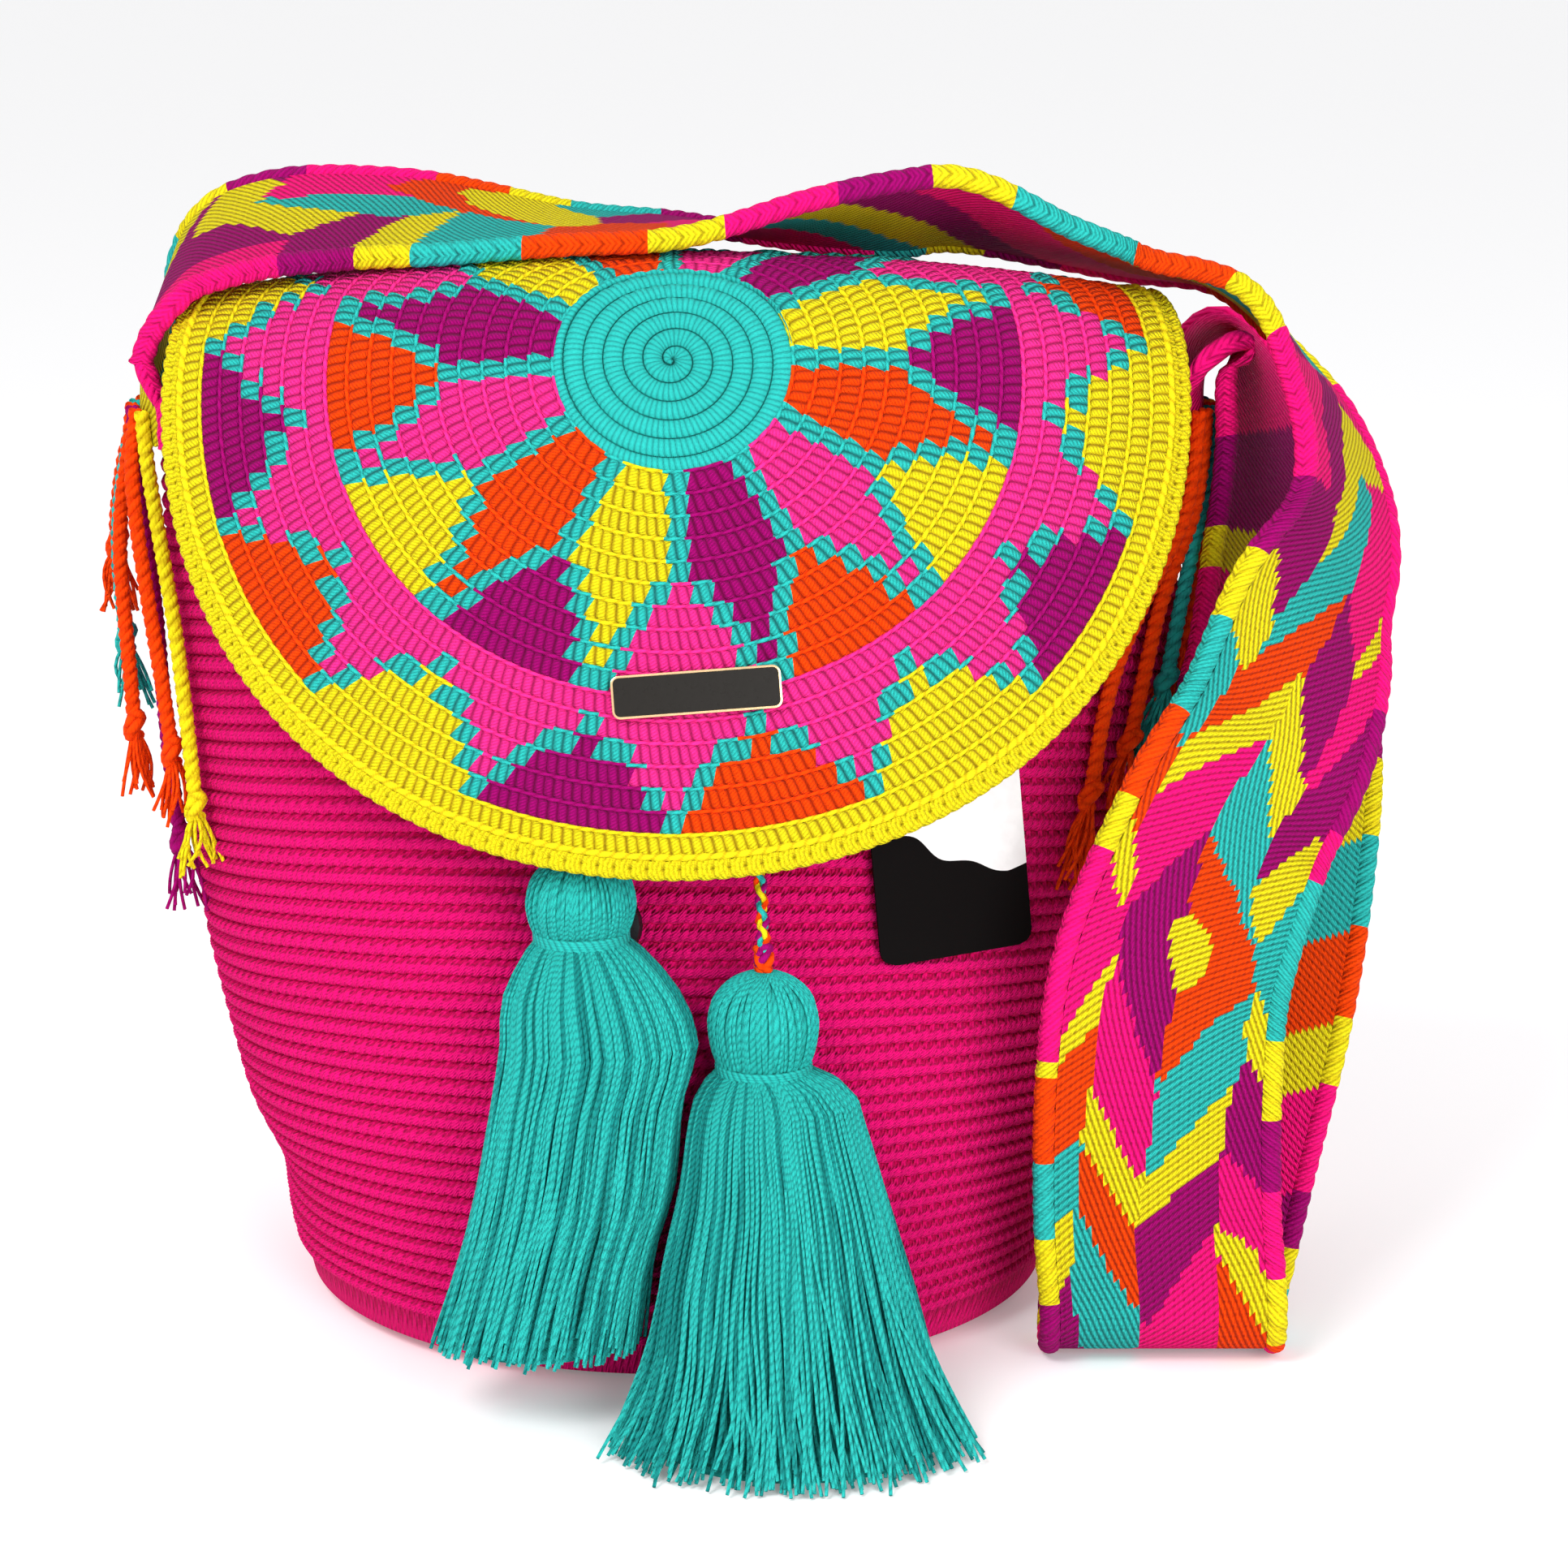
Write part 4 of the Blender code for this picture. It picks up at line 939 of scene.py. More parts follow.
# Each cord has its yarn, its start along the rim, and places: arc along the rim, drop and distance off the wall.
LEFT_FRINGE_MM = (
    ("yellow", 21, ((23.2, 18, 6.4), (24.5, 34, 5), (29, 55, 4.5), (32, 85, 4), (33, 111, 4))),
    ("orange", 17, ((19, 18, 9.5), (21.5, 42, 8.5), (24, 72, 6.2), (25, 98, 5))),
    ("purple", 12.5, ((13.8, 18, 6.4), (15.8, 50, 4.2), (17.5, 90, 4), (18.5, 123, 4))),
    ("orange", 8, ((8.5, 18, 9.4), (9.8, 38, 11.8), (10.5, 66, 11.5), (11, 94, 11.8))),
    ("teal", 3.5, ((4.2, 18, 10.5), (5.2, 40, 13), (5.6, 72, 12.2))),
    ("orange", -1, ((-0.6, 16, 12.5), (0, 30, 15), (0.2, 48, 15.8))),
)
RIGHT_FRINGE_MM = (
    ("orange", 21, ((24, 18, 7), (27.5, 28, 7.2), (40, 48, 6), (50, 70, 5.5), (56, 104, 5))),
    ("orange", 16.5, ((19.2, 18, 7), (22.2, 28, 6.6), (33.5, 48, 6), (40, 70, 6), (44.5, 92, 5))),
    ("teal", 12, ((14.4, 18, 6.8), (17.6, 30, 6.2), (26.5, 52, 6.2), (32, 78, 5.5))),
    ("orange", 7.5, ((9.6, 18, 6.8), (13, 32, 6), (20, 50, 6), (23.5, 66, 6))),
    ("yellow", 3, ((5, 18, 7), (8.6, 34, 6.2), (14, 54, 6), (16, 74, 5.5))),
    ("teal", -1.5, ((0.4, 18, 7), (3.8, 34, 6.2), (8, 64, 5.5))),
    ("purple", -6, ((-4.6, 18, 7), (-1.2, 34, 6.2), (1, 58, 5.5))),
)


def make_fringes():
    draws = random.Random(11)
    for side, place, cords in ((-1, "left", LEFT_FRINGE_MM), (1, "right", RIGHT_FRINGE_MM)):
        for number, cord in enumerate(cords, 1):
            make_fringe(place, number, side, *cord, draws)


# Tassels

# Rows of a skirt from the neck down: x, height, half width, half depth and distance off the wall.
LEFT_SKIRT_MM = (
    (-19.5, 108.5, 16, 12.5, 4),
    (-17.8, 99, 22.2, 15, 2.4),
    (-16.2, 88, 24.2, 16.5, 1.2),
    (-19, 76, 23.5, 17, 1.2),
    (-22.2, 54.6, 24.2, 17.5, 1.2),
    (-26.2, 40, 23.6, 18, 1.2),
    (-31.2, 18.4, 25.2, 18.5, 1.2),
)
RIGHT_SKIRT_MM = (
    (26.7, 77.5, 18.5, 14.5, 3.5),
    (27.2, 70, 21.4, 17.5, 3.5),
    (28.6, 55.1, 25, 20.5, 3),
    (29, 38.2, 29.8, 24, 3),
    (30.3, 21.1, 34.2, 27, 3),
    (31.2, 6, 41, 30, 4),
    (31.2, 0, 45.5, 31.5, 5),
)


def skirt_row(x, height, half_width, half_depth, off):
    """The middle and the half sizes of one row of a skirt, its back this far off the front of the wall."""
    shifts = (-half_width / 2, 0, half_width / 2)
    wall = min(front_point(x + shift, max(height, BASE_CORNER)).y for shift in shifts)
    return Vector((x, wall - off - half_depth, height)), half_width, half_depth


def skirt_at(rows, share):
    """The skirt's middle and half sizes, from share 0 at the neck to 1 at its lowest row."""
    index = min(int(share * (len(rows) - 1)), len(rows) - 2)
    part = share * (len(rows) - 1) - index
    (start, wide, deep), (end, next_wide, next_deep) = rows[index], rows[index + 1]
    return start.lerp(end, part), blend(wide, next_wide, part), blend(deep, next_deep, part)


def even_rows(rows, steps):
    """The rows as one smooth list, at even heights."""
    centres = smooth_path([row[0] for row in rows], 8)
    sizes = smooth_path([(*row[1:], 0) for row in rows], 8)
    pairs = range(len(centres) - 1)
    found = []
    for step in range(steps + 1):
        height = blend(centres[0].z, centres[-1].z, step / steps)
        index = min(pairs, key=lambda item: abs((centres[item].z + centres[item + 1].z) / 2 - height))
        fall = centres[index].z - centres[index + 1].z
        part = (centres[index].z - height) / fall if fall else 0.0
        size = sizes[index].lerp(sizes[index + 1], part)
        found.append((centres[index].lerp(centres[index + 1], part), size.x, size.y))
    return found


def oval(wide, deep, turn, rise=0.0):
    return Vector((wide * math.cos(turn), deep * math.sin(turn), rise))


def fill_core(cloth, rows):
    """A plain closed core under the strands. Each row is a middle and two half sizes; the ends are points."""
    def place(x, y):
        centre, wide, deep = rows[y]
        return centre + oval(wide, deep, corner(x, CORE_SIDES))

    cloth.patch(CORE_SIDES, len(rows) - 1, place, lambda x, y: "teal", lambda x, y: (x, y))


def hang_strands(cloth, rows, count, draws):
    """The skirt's loose strands in three layers, each with its own length and sway, and a few that stray."""
    for layer, layer_share in SKIRT_LAYERS:
        strands = round(count * layer_share)
        for number in range(strands):
            angle = CIRCLE * (number + draws.uniform(-0.35, 0.35)) / strands
            depth = layer + draws.uniform(-0.04, 0.03)
            reach = 1.0 - abs(draws.gauss(0, 0.035)) - (0.02 if layer < 0.9 else 0)
            sway = [draws.uniform(-1, 1) for _ in range(4)]
            loose = 1.0 if draws.random() > 0.05 else 2.4
            stray = 0.05 * max(0.0, sway[0]) if loose > 1 else 0.0
            points = []
            for step in range(SKIRT_STEPS + 1):
                down = (step / SKIRT_STEPS) ** 1.3 * reach
                centre, wide, deep = skirt_at(rows, down)
                drift = down ** 1.2 * loose
                turn = angle + drift * (0.10 * sway[0] + 0.06 * sway[1] * math.sin(down * 9 + sway[2] * 3))
                size = depth + drift * (0.05 * sway[3] * math.sin(down * 7 + sway[1] * 3) + stray)
                point = centre + oval(wide, deep, turn) * size
                point.z = max(point.z, 0.0006)
                points.append(point)
            # About a third of the strands take the darker copy of teal, as painted shade among the strands.
            yarn = "deep teal" if draws.random() < 0.34 else "teal"
            cloth.strand(points, STRAND, 5, yarn, turns=3.4, offset=draws.random())


def cover_head(cloth, neck, profile, draws):
    """Strands laid side by side over the head, from its crown down to the neck."""
    for number in range(HEAD_STRANDS):
        angle = CIRCLE * (number + draws.uniform(-0.3, 0.3)) / HEAD_STRANDS
        sway = draws.uniform(-0.12, 0.12)
        out = 0.955 + draws.uniform(-0.02, 0.025)
        points = []
        for index, (wide, rise, _) in enumerate(profile):
            turn = angle + sway * math.sin(index / len(profile) * math.pi)
            points.append(neck + oval(wide * out, wide * out * HEAD_FLATTEN, turn, rise))
        cloth.strand(points, STRAND, 5, "teal", turns=0.8, offset=draws.random())


def make_tassel(name, tassel, skirt, count, seed):
    draws = random.Random(seed)
    neck = tassel_neck(tassel)
    measured = [skirt_row(*(value * MM for value in row)) for row in skirt]
    rows = even_rows([(neck, NECK_RADIUS, NECK_RADIUS), *measured], SKIRT_ROWS)
    cloth = Cloth()
    shares = [0.74] * (len(rows) - 3) + [0.66] * 3
    core = [(centre, wide * share, deep * share) for (centre, wide, deep), share in zip(rows, shares)]
    fill_core(cloth, [(rows[0][0], 0, 0), *core, (rows[-1][0], 0, 0)])
    hang_strands(cloth, rows, count, draws)
    radius, lower, upper = tassel["radius"], tassel["lower"], tassel["upper"]
    head = []
    for share in (1.0, 0.92, 0.80, 0.62, 0.45, 0.25):
        angle = math.radians(88) * share
        head.append((lower + upper * math.sin(angle), radius * math.cos(angle)))
    for share in (1.0, 0.75, 0.5, 0.3, 0.0):
        head.append((lower * share, blend(NECK_RADIUS, radius, 1 - (1 - share) ** 2.2)))
    core = [(neck + Vector((0, 0, rise - 0.0006)), 0.94 * wide, 0.94 * wide * HEAD_FLATTEN)
            for rise, wide in head]
    fill_core(cloth, [(neck + Vector((0, 0, head[0][0] - 0.001)), 0, 0), *core])
    cover_head(cloth, neck, smooth_path([(wide, rise, 0) for rise, wide in head], 2), draws)
    cloth.finish(f"{name}_strands", [TWISTED], "teal yarn", name)
    tie = Cloth()
    out = NECK_RADIUS + GAP + TIE_WALL * 0.45
    points = []
    for step in range(TIE_TURNS * TIE_STEPS + 1):
        rise = TIE_HEIGHT / TIE_TURNS * (step / TIE_STEPS - TIE_TURNS / 2)
        points.append(neck + oval(out, out, CIRCLE * step / TIE_STEPS, rise))
    tie.strand(points, TIE_STRAND, 7, "teal", turns=1.4)
    tie.finish(f"{name}_winding", [TWISTED], "teal yarn", f"{name}_tie")


def make_tassels():
    make_tassel("tassel_left", LEFT_TASSEL, LEFT_SKIRT_MM, 620, 5)
    make_tassel("tassel_right", RIGHT_TASSEL, RIGHT_SKIRT_MM, 760, 8)


# Flap

def stitch_round(cloth, number):
    """One round of stitches: a soft band that dips between each two and leans with its stitches."""
    stitches = round_stitches(number)
    steps = stitches * STITCH_SEGMENTS
    inner, outer = round_radius(number - 1), round_radius(number)
    start = round_start(number)
    ground = STITCH_THICKNESS * 0.62

    def yarn(y):
        return flap_colour(number, start + 360 * (y // STITCH_SEGMENTS) / stitches)

    def place(x, y):
        y %= steps
        around = corner(x, STITCH_SECTION)
        u, lift = -math.cos(around), math.sin(around)
        dip = abs(math.sin(math.pi * y / STITCH_SEGMENTS)) ** 0.6
        teal = yarn(y) == "teal"
        radius = blend(inner, outer, 0.5 + (0.52 if teal else 0.46) * u)
        swell = (ground + (TEAL_PUFF if teal else 0.0)) * max(0.0, lift) * (0.66 + 0.34 * dip)
        degrees = start + 360 * (y / STITCH_SEGMENTS - 0.5 + STITCH_SLANT * u) / stitches
        return flap_point(radius, degrees, ground - swell - STITCH_THICKNESS * 0.4 * min(0.0, lift))

    cloth.patch(STITCH_SECTION, steps, place, lambda x, y: yarn(y),
                lambda x, y: (y / STITCH_SEGMENTS, x / STITCH_SECTION * 2))


def rope_round(cloth, radius, size, colour, depth=ROPE_DEPTH):
    """A thin rope laid between two rounds."""
    steps = round(CIRCLE * radius / ROPE_SPACING)

    def place(x, y):
        y %= steps
        around = corner(x, ROPE_SIDES)
        swell = size * (1.16 if y % 2 else 0.84)
        return flap_point(radius + swell * math.cos(around), FLAP_START + 360 * y / steps,
                          depth - swell * math.sin(around))

    cloth.patch(ROPE_SIDES, steps, place, lambda x, y: colour(FLAP_START + 360 * (y + 0.5) / steps),
                lambda x, y: (x / ROPE_SIDES, y * 0.75), material=1)


def make_core(cloth):
    """The middle disc: one spiral of stitches, which narrows to nothing along its last turn."""
    steps = round(math.pi * CORE_TURNS * CORE_TURNS * CORE_PITCH / CORE_STITCH) * STITCH_SEGMENTS

    def place(x, y):
        around = corner(x, STITCH_SECTION)
        u, lift = (0.0, 0.0) if y in (0, steps) else (-math.cos(around), math.sin(around))
        turn = max(0.12, math.sqrt(y / steps) * CORE_TURNS)
        dip = abs(math.sin(math.pi * y / STITCH_SEGMENTS)) ** 0.6
        inner, outer = CORE_PITCH * max(turn - 1, 0.0), CORE_PITCH * min(turn, CORE_ROUNDS)
        radius = blend(inner, outer, 0.5 + 0.47 * u)
        depth = 0.0010 - 0.0013 * max(0.0, lift) * (0.60 + 0.40 * dip) + (0.0004 if lift < 0 else 0)
        return flap_point(max(radius, 0.0002), FLAP_START + 360 * turn, depth)

    cloth.patch(STITCH_SECTION, steps, place, lambda x, y: "teal",
                lambda x, y: (x / STITCH_SECTION, y * 3 / STITCH_SEGMENTS), material=1)


def make_lining(cloth):
    """The ground behind the stitches, and the plain underside, as one closed shell."""
    edge = FLAP_RADIUS - 0.0012
    rows = [(round_radius(number), GROUND_DEPTH) for number in range(ROUNDS)]
    rows += [(edge, 0.0014), (edge + 0.0006, 0.0028), (edge, FLAP_WALL - 0.0004)]
    for number in range(ROUNDS - 1, 0, -1):
        rows.append((round_radius(number) + ROUND_PITCH / 2, FLAP_WALL))
        rows.append((round_radius(number), FLAP_WALL - GROUND_RIDGE))
    rows.append((0.0, FLAP_WALL))

    def place(x, y):
        radius, depth = rows[y]
        return flap_point(radius, 360 * (x % GROUND_COLUMNS) / GROUND_COLUMNS, depth)

    def colour(x, y):
        past = (rows[y][0] + rows[y + 1][0]) / 2 - CORE_ROUNDS * CORE_PITCH
        if past < 0:
            return "teal"
        number = min(ROUNDS, CORE_ROUNDS + 1 + int(past / ROUND_PITCH))
        return flap_colour(number, 360 * (x + 0.5) / GROUND_COLUMNS)

    cloth.patch(GROUND_COLUMNS, len(rows) - 1, place, colour,
                lambda x, y: (x / GROUND_COLUMNS * 150, y * (1.0 if y < ROUNDS + 3 else 0.5)))


def make_rim(cloth):
    """The yellow edge: a plait whose two rows of stitches meet in V shapes."""
    middle = round_radius(ROUNDS - 1) + ROUND_PITCH / 2
    stitches = round(CIRCLE * middle / RIM_STITCH)
    steps = stitches * STITCH_SEGMENTS
    sides = 16

    def place(x, y):
        y = y % steps / STITCH_SEGMENTS
        around = corner(x, sides)
        u, lift = -math.cos(around), math.sin(around)
        beat = abs(math.sin(math.pi * y)) ** 0.7
        valley = 0.0010 * math.exp(-(u / 0.25) ** 2) if lift > 0 else 0.0
        thick = 0.0024 if lift > 0 else -0.0017
        depth = 0.0019 - thick * abs(lift) ** 0.6 * (0.68 + 0.32 * beat) + valley
        radius = middle + ROUND_PITCH * 0.50 * (0.92 + 0.12 * beat) * u
        return flap_point(radius, FLAP_START + 360 * (y + 0.9 * abs(u)) / stitches, depth)

    cloth.patch(sides, steps, place, lambda x, y: "yellow",
                lambda x, y: (abs(x % 8 / 4 - 1), y / STITCH_SEGMENTS))


def make_flap():
    slot = "patterned crochet"
    stitches = Cloth()
    for number in range(CORE_ROUNDS + 1, ROUNDS):
        stitch_round(stitches, number)
    rounds = stitches.finish("flap_stitches", [CROCHET], slot, "flap")
    detail = Cloth()
    make_core(detail)
    for number in range(CORE_ROUNDS, ROUNDS - 1):
        rope_round(detail, round_radius(number), ROPE_RADIUS,
                   lambda degrees, number=number: flap_colour(number + 1, degrees))
    rope_round(detail, round_radius(ROUNDS - 1) - 0.0002, 0.0009, lambda degrees: "yellow", 0.0003)
    make_rim(detail)
    edging = detail.finish("flap_edging_and_middle", [PLAITED, TWISTED, CROCHET], slot, "flap")
    ground = Cloth()
    make_lining(ground)
    sheet = ground.finish("flap_ground", [CROCHET], slot, "flap")


# Body

def body_ring(x, row, inset):
    """A point of the outer wall. Every second column is lower and deeper, so that the grooves step."""
    angle = -corner(x, BODY_COLUMNS)
    share = row / ROWS
    share *= 1 - ROW_GROWTH * (1 - share)
    low = x % 2 and 0 < row < ROWS
    point = wall_point(angle, share, inset + (GROOVE_DEPTH if low else 0.0))
    point -= wall_normal(angle, share) * noise.noise(point * UNEVEN_SCALE) * UNEVEN
    if low:
        point.z -= GROOVE_STEP
    return point


def make_body():
    """Rows of stitches from a round base up to the rim."""
    cloth = Cloth()
    levels = [(row + part, inset) for row in range(ROWS) for part, inset in ROW_SECTION]
    levels.append((ROWS, RIM_INSET))
    cloth.patch(BODY_COLUMNS, len(levels) - 1, lambda x, y: body_ring(x, *levels[y]), lambda x, y: "pink",
                lambda x, y: (x / 2, levels[y][0]))
    slope = math.cos(math.pi / 4)
    foot = [(BASE_RADIUS + BASE_CORNER * slope, BASE_CORNER * (1 - slope)), (BASE_RADIUS, BASE_LOW)]
    for step in range(1, 2 * BASE_ROUNDS):
        foot.append((BASE_RADIUS * (1 - step / (2 * BASE_ROUNDS)), BASE_HIGH if step % 2 else BASE_LOW))
    foot.append((0.0, 2 * BASE_LOW))

    def base(x, y):
        if y == 0:
            return body_ring(x, *levels[0])
        radius, height = foot[y - 1]
        return oval(radius, radius, -corner(x, BODY_COLUMNS), height)

    cloth.patch(BODY_COLUMNS, len(foot), base, lambda x, y: "pink", lambda x, y: (x / 2, -y * 0.5))
    cloth.finish("crochet_body", [BODY_CROCHET], "pink yarn", "bag_body")


def make_inside():
    """The rim's edge, the inner wall and the inner floor."""
    cloth = Cloth()
    rows = [(1.0, RIM_INSET, 0.0), (1.0, 0.0016, RIM_RISE), (1.0, 0.0036, RIM_RISE), (1.0, INSIDE, 0.0)]
    for step in range(1, 55):
        rows.append((1 - step / INSIDE_ROWS, INSIDE - (INSIDE_RIDGE if step % 2 else 0.0), 0.0))
    floor = [BASE_RADIUS - WALL, BASE_RADIUS * 0.5, 0.0]

    def place(x, y):
        angle = -corner(x, BODY_STITCHES)
        if y >= len(rows):
            return oval(floor[y - len(rows)], floor[y - len(rows)], angle, WALL)
        share, inset, rise = rows[y]
        return wall_point(angle, share, inset) + Vector((0, 0, rise))

    cloth.patch(BODY_STITCHES, len(rows) + len(floor) - 1, place, lambda x, y: "pink",
                lambda x, y: (x, y * 0.5))
    cloth.finish("body_inside", [BODY_CROCHET], "pink yarn", "bag_body")


# Strap

def strap_route():
    """Middle points, the direction of the front edge and how closely the band hugs the wall, end to end."""
    lap = STRAP_LAP / MM
    left, right = (walk(side, 0.0, RIM_SIDE - STRAP_LAP, STRAP_ROLL + GAP) + Vector((0, 0, STRAP_LAP))
                   for side in (-1, 1))
    top = Vector((0, 0, flap_surface(0, BEND_LENGTH).z + STRAP_ROLL + GAP))
    front = (0, -1, 0)
    parts_mm = (
        (left, (
            ((0, 0, -lap), front, 1),
            ((0, 0, -1), front, 1),
            ((0.4, 0, 7), front, 0.4),
            ((1.4, 0, 15), front),
            ((3.5, -2, 24.5), (0.04, -0.98, -0.14)),
            ((8.5, -4, 33), (0.03, -0.96, -0.26)),
            ((17.5, -5, 40.5), (0, -0.95, -0.31)),
            ((34.5, -6, 45.2), (0, -0.95, -0.31)),
        )),
        (top, (
            ((-78, -2, 2.5), (0, -0.96, -0.27)),
            ((-54, -7, 1.8), (0, -0.98, -0.19)),
            ((-26, -10, 0.6), (0, -1, -0.05)),
            ((3, -10, 0.4), (0, -1, 0.03)),
            ((33, -8, 2.4), (0, -0.97, 0.26)),
            ((56, -6, 3.6), (0, -0.93, 0.38)),
            ((73, -4, 3.8), (0, -0.93, 0.38)),
        )),
        (Vector((right.x, 0, right.z)), (
            ((-38, -1, 40.5), (0, -0.97, 0.25)),
            ((-17, -1, 35), (0, -0.98, 0.18)),
            ((3, -6, 31), (-0.04, -0.98, 0.12)),
            ((18, -13, 21), (-0.15, -0.96, 0.22)),
            ((29, -22, 5), (-0.30, -0.93, 0.18)),
            ((35, -32, -13), (-0.42, -0.88, 0.20)),
            ((34.5, -39, -30), (-0.56, -0.80, 0.20)),
            ((27, -47, -48), (-0.75, -0.64, 0.18)),
            ((17, -60, -75), (-0.86, -0.48, 0.18)),
            ((3.5, -70, -98), (-0.92, -0.38, 0.08)),
        )),
        (Vector((right.x, 0, 0)), (
            ((-9.5, -79, 103), (-0.97, -0.20, 0.03)),
            ((-13, -83, 75), (-0.99, -0.10, 0)),
            ((-13, -86, 42), (-1, -0.04, 0)),
            ((-11.2, -86.5, 20), (-1, 0, 0)),
            ((-10.8, -85.5, 11.5), (-1, 0, 0)),
            ((-10.6, -81, 5.5), (-1, 0, 0)),
            ((-10.5, -73, (STRAP_ROLL + GAP) / MM), (-1, 0, 0)),
            ((-10, -65, 5), (-1, 0, 0)),
            ((-9, -60, 10), (-1, 0, 0)),
            ((-5, -56, 23), (-1, 0, 0)),
            ((1, -53, 50), (-1, -0.04, 0)),
            ((8.5, -47, 80), (-1, -0.08, 0)),
            ((15, -38, 110), (-0.97, -0.20, 0)),
            ((20, -28, 140), (-0.94, -0.35, 0)),
        )),
        (Vector((right.x, 0, right.z)), (
            ((23, -15, -69), (-0.80, -0.60, 0)),
            ((22, -2, -39), (-0.60, -0.80, 0)),
            ((19, 5, -15), (-0.42, -0.91, 0)),
            ((15, 8, 5.5), (-0.30, -0.95, 0)),
        )),
        (right, (
            ((10, 2, 15), (-0.10, -0.99, 0)),
            ((2.5, 0.5, 11), front, 0.2),
            ((0, 0, -1), front, 1),
            ((0, 0, -lap), front, 1),
        )),
    )
    return [(base + Vector(offset) * MM, edge, *hug) for base, rows in parts_mm for offset, edge, *hug in rows]


def strap_frames():
    """Even places along the band: middle, ways to the front edge and off the outer face, hug and length."""
    route = strap_route()
    centres = smooth_path([row[0] for row in route], STRAP_STEPS)
    edges = smooth_path([row[1] for row in route], STRAP_STEPS)
    hugs = smooth_path([(sum(row[2:]), 0, 0) for row in route], STRAP_STEPS)
    lengths = running_lengths(centres)
    frames = []
    for index, share, along in even_places(lengths, round(lengths[-1] / FRAME_STEP)):
        start, end = centres[index], centres[index + 1]
        before, after = centres[max(index - 1, 0)], centres[min(index + 2, len(centres) - 1)]
        ahead = (end - before).normalized().lerp((after - start).normalized(), share).normalized()
        edge = edges[index].lerp(edges[index + 1], share)
        edge = (edge - ahead * edge.dot(ahead)).normalized()
        hug = clamped(blend(hugs[index].x, hugs[index + 1].x, share))
        frames.append((start.lerp(end, share), edge, edge.cross(ahead), hug, along))
    return frames


def strap_point(frame, across, out):
    centre, edge, outer, hug, _ = frame
    point = centre + edge * across + outer * out
    if hug > 0:
        side = -1 if centre.x < 0 else 1
        point = point.lerp(walk(side, across, centre.z, STRAP_ROLL + GAP + out), hug)
    return point


